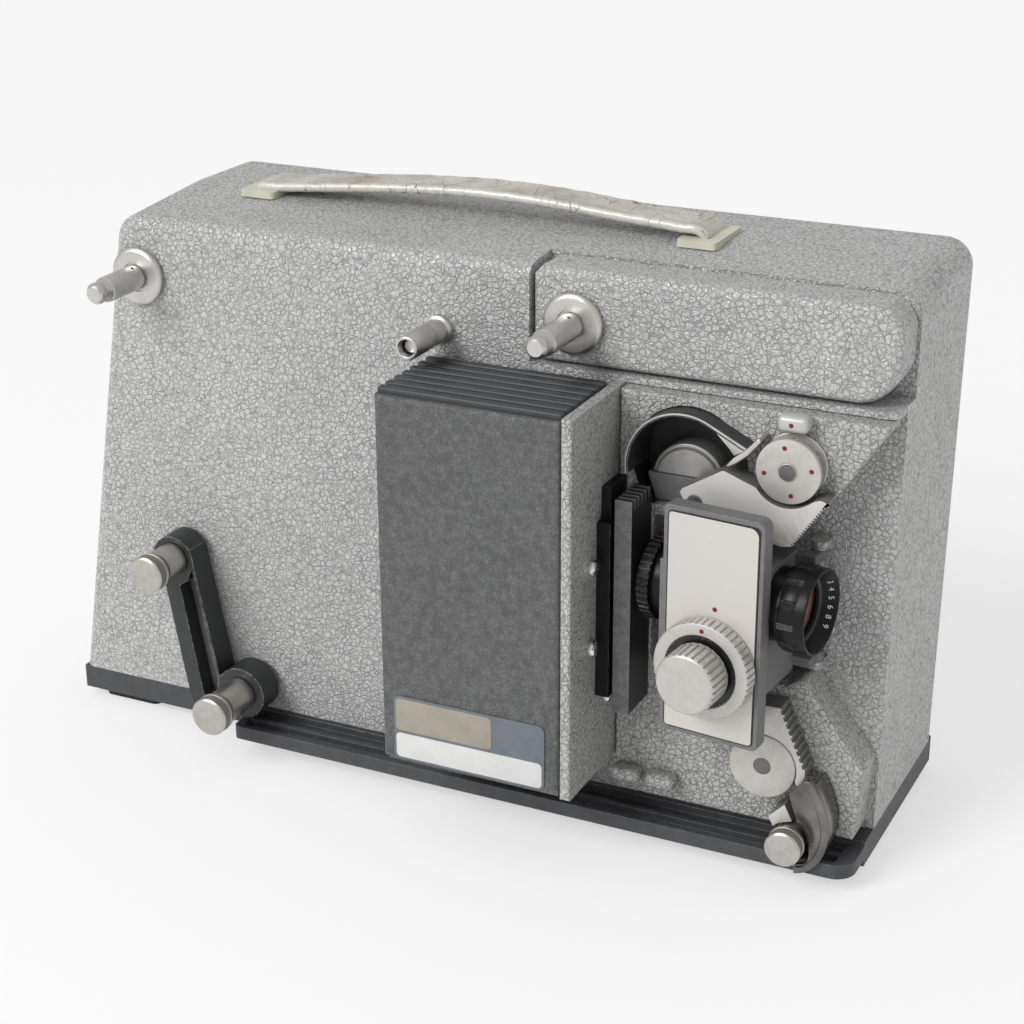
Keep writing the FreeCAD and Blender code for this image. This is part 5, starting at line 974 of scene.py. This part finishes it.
def strap():
    """The padded band with rolled long edges, arched between its plates and tucked down at its ends."""
    tops = [(104, 278.2), (112, 279.0), (133, 281), (155, 283), (172, 284.4), (194, 285.6), (215, 286.2),
            (235, 285.9), (254, 285), (273, 283.4), (292, 282), (306, 281.3), (315, 280.4)]
    thick = 4.4
    line = [(x, z - thick / 2) for x, z in tops]
    left = [(93.2, 273.2), (93.4, 274.6), (94.6, 275.6), (97.4, 275.9)]
    right = [(321, 278.6), (324.4, 277.0), (326.0, 274.8), (326.2, 273.2)]
    curve = bpy.data.curves.new("strap_line", "CURVE")
    curve.dimensions = "3D"
    spline = curve.splines.new("NURBS")
    points = left + line + right
    spline.points.add(len(points) - 1)
    for point, (x, z) in zip(spline.points, points):
        point.co = (*at(x, 60, z), 1)
    spline.order_u = 3
    spline.use_endpoint_u = True
    spline.resolution_u = 6
    holder = bpy.data.objects.new("strap_line", curve)
    bpy.context.scene.collection.objects.link(holder)
    graph = bpy.context.evaluated_depsgraph_get()
    path = [v.co.copy() for v in bpy.data.meshes.new_from_object(holder.evaluated_get(graph)).vertices]
    bpy.data.objects.remove(holder)
    half, roll = 12.5, 2.35
    section = []
    for k in range(9):
        turn = math.radians(-90 + 180 * k / 8)
        section.append((half - roll + roll * math.cos(turn), roll * math.sin(turn)))
    section += [(half - 4.6, 1.75), (half - 6.5, 1.62), (0, 1.7), (-half + 6.5, 1.62), (-half + 4.6, 1.75)]
    for k in range(9):
        turn = math.radians(90 + 180 * k / 8)
        section.append((-half + roll + roll * math.cos(turn), roll * math.sin(turn)))
    section += [(-half + 5, -1.7), (0, -1.5), (half - 5, -1.7)]
    shape = bmesh.new()
    rows = []
    length = len(path)
    for n, spot in enumerate(path):
        ahead = (path[min(n + 1, length - 1)] - path[max(n - 1, 0)]).normalized()
        up = Vector((-ahead.z, 0, ahead.x))
        end = min(n, length - 1 - n)
        narrow = 1 - 0.10 * max(0.0, 1 - end / 16)
        wave = 0.25 * math.sin(n * 0.9) * math.sin(n * 0.23)
        row = []
        for across, rise in section:
            bulge = 1 + 0.07 * math.sin(n * 1.7 + (2 if across > 0 else 0)) if abs(across) > 9 else 1
            row.append(shape.verts.new(spot + Vector((0, across * narrow * MM, 0))
                                       + up * (rise * bulge + (wave * 0.4 if rise > 0 else 0)) * MM))
        rows.append(row)
    for first, second in zip(rows, rows[1:]):
        for k in range(len(section)):
            after = (k + 1) % len(section)
            shape.faces.new((first[k], first[after], second[after], second[k]))
    shape.faces.new(rows[0])
    shape.faces.new(rows[-1][::-1])
    band = finished("carrying_strap", shape, STRAP_LEATHER, sharp_degrees=60)
    soft = band.modifiers.new("soft", "SUBSURF")
    soft.levels = soft.render_levels = 1
    return band


fit(strap(), "chassis", "strap", "handle_strap")


# Stage, light and camera

def stage_floor():
    """A wide white floor: it keeps the object's shadow, and looks white to the camera and in mirrors."""
    bpy.ops.mesh.primitive_plane_add(size=30, location=(0, 0, 0))
    floor = bpy.context.object
    floor.name = "floor"
    material = bpy.data.materials.new("floor")
    material.use_nodes = True
    nodes, links = material.node_tree.nodes, material.node_tree.links
    nodes.clear()
    out = nodes.new("ShaderNodeOutputMaterial")
    blend = nodes.new("ShaderNodeMixShader")
    diffuse = nodes.new("ShaderNodeBsdfDiffuse")
    diffuse.inputs["Color"].default_value = (0.93, 0.93, 0.93, 1)
    glow = nodes.new("ShaderNodeEmission")
    glow.inputs["Color"].default_value = (1, 1, 1, 1)
    glow.inputs["Strength"].default_value = 1.0
    path = nodes.new("ShaderNodeLightPath")
    seen = nodes.new("ShaderNodeMath")
    seen.operation = "MAXIMUM"
    links.new(path.outputs["Is Camera Ray"], seen.inputs[0])
    links.new(path.outputs["Is Glossy Ray"], seen.inputs[1])
    through = nodes.new("ShaderNodeMath")
    through.operation = "MAXIMUM"
    links.new(seen.outputs[0], through.inputs[0])
    links.new(path.outputs["Is Transmission Ray"], through.inputs[1])
    share = nodes.new("ShaderNodeMath")
    share.operation = "MULTIPLY"
    share.inputs[1].default_value = FLOOR_GLOW
    links.new(through.outputs[0], share.inputs[0])
    links.new(share.outputs[0], blend.inputs["Fac"])
    links.new(diffuse.outputs[0], blend.inputs[1])
    links.new(glow.outputs[0], blend.inputs[2])
    links.new(blend.outputs[0], out.inputs["Surface"])
    floor.data.materials.append(material)


FLOOR_GLOW = 0.55
WORLD_LIGHT = 0.62
stage_floor()

world = bpy.data.worlds.new("studio")
bpy.context.scene.world = world
world.use_nodes = True
world_nodes, world_links = world.node_tree.nodes, world.node_tree.links
background = world_nodes["Background"]
background.inputs["Color"].default_value = (1, 1, 1, 1)
world_path = world_nodes.new("ShaderNodeLightPath")
world_mix = world_nodes.new("ShaderNodeMapRange")
world_links.new(world_path.outputs["Is Camera Ray"], world_mix.inputs["Value"])
world_mix.inputs["To Min"].default_value = WORLD_LIGHT
world_mix.inputs["To Max"].default_value = 1.0
world_links.new(world_mix.outputs[0], background.inputs["Strength"])


def sun(name, direction, strength, angle):
    lamp = bpy.data.lights.new(name, "SUN")
    lamp.energy = strength
    lamp.angle = math.radians(angle)
    holder = bpy.data.objects.new(name, lamp)
    holder.rotation_euler = (-Vector(direction)).to_track_quat("-Z", "Y").to_euler()
    bpy.context.scene.collection.objects.link(holder)


def softbox(name, spot, aim, size, power):
    lamp = bpy.data.lights.new(name, "AREA")
    lamp.energy = power
    lamp.size = size
    holder = bpy.data.objects.new(name, lamp)
    holder.location = spot
    holder.rotation_euler = (Vector(aim) - Vector(spot)).to_track_quat("-Z", "Y").to_euler()
    bpy.context.scene.collection.objects.link(holder)


sun("key", (-0.42, -0.75, 0.62), 1.45, 28)
softbox("front_box", (-0.5, -1.3, 1.1), (0, 0, 0.15), 0.7, 5)

CAMERA_SPOT = at(647.9, -817.3, 516.3)
CAMERA_YAW, CAMERA_PITCH, CAMERA_ROLL = (math.radians(v) for v in (-25.7126, 22.0934, -0.2625))
FOCAL_SHARE = 2115.64 / 1024
OFF_CENTRE = 1.7 / 1024
ahead = Vector((math.sin(CAMERA_YAW) * math.cos(CAMERA_PITCH), math.cos(CAMERA_YAW) * math.cos(CAMERA_PITCH),
                -math.sin(CAMERA_PITCH)))
level_right = ahead.cross(Vector((0, 0, 1))).normalized()
level_up = level_right.cross(ahead)
right = level_right * math.cos(CAMERA_ROLL) + level_up * math.sin(CAMERA_ROLL)
up = -level_right * math.sin(CAMERA_ROLL) + level_up * math.cos(CAMERA_ROLL)
camera_data = bpy.data.cameras.new("camera")
camera_data.sensor_width = 36
camera_data.sensor_fit = "HORIZONTAL"
camera_data.lens = 36 * FOCAL_SHARE
camera_data.shift_x = -OFF_CENTRE
camera_data.shift_y = OFF_CENTRE
camera = bpy.data.objects.new("camera", camera_data)
facing = Matrix((right, up, -ahead)).transposed().to_4x4()
facing.translation = CAMERA_SPOT
camera.matrix_world = facing
bpy.context.scene.collection.objects.link(camera)
bpy.context.scene.camera = camera
bpy.context.scene.view_settings.view_transform = "Standard"
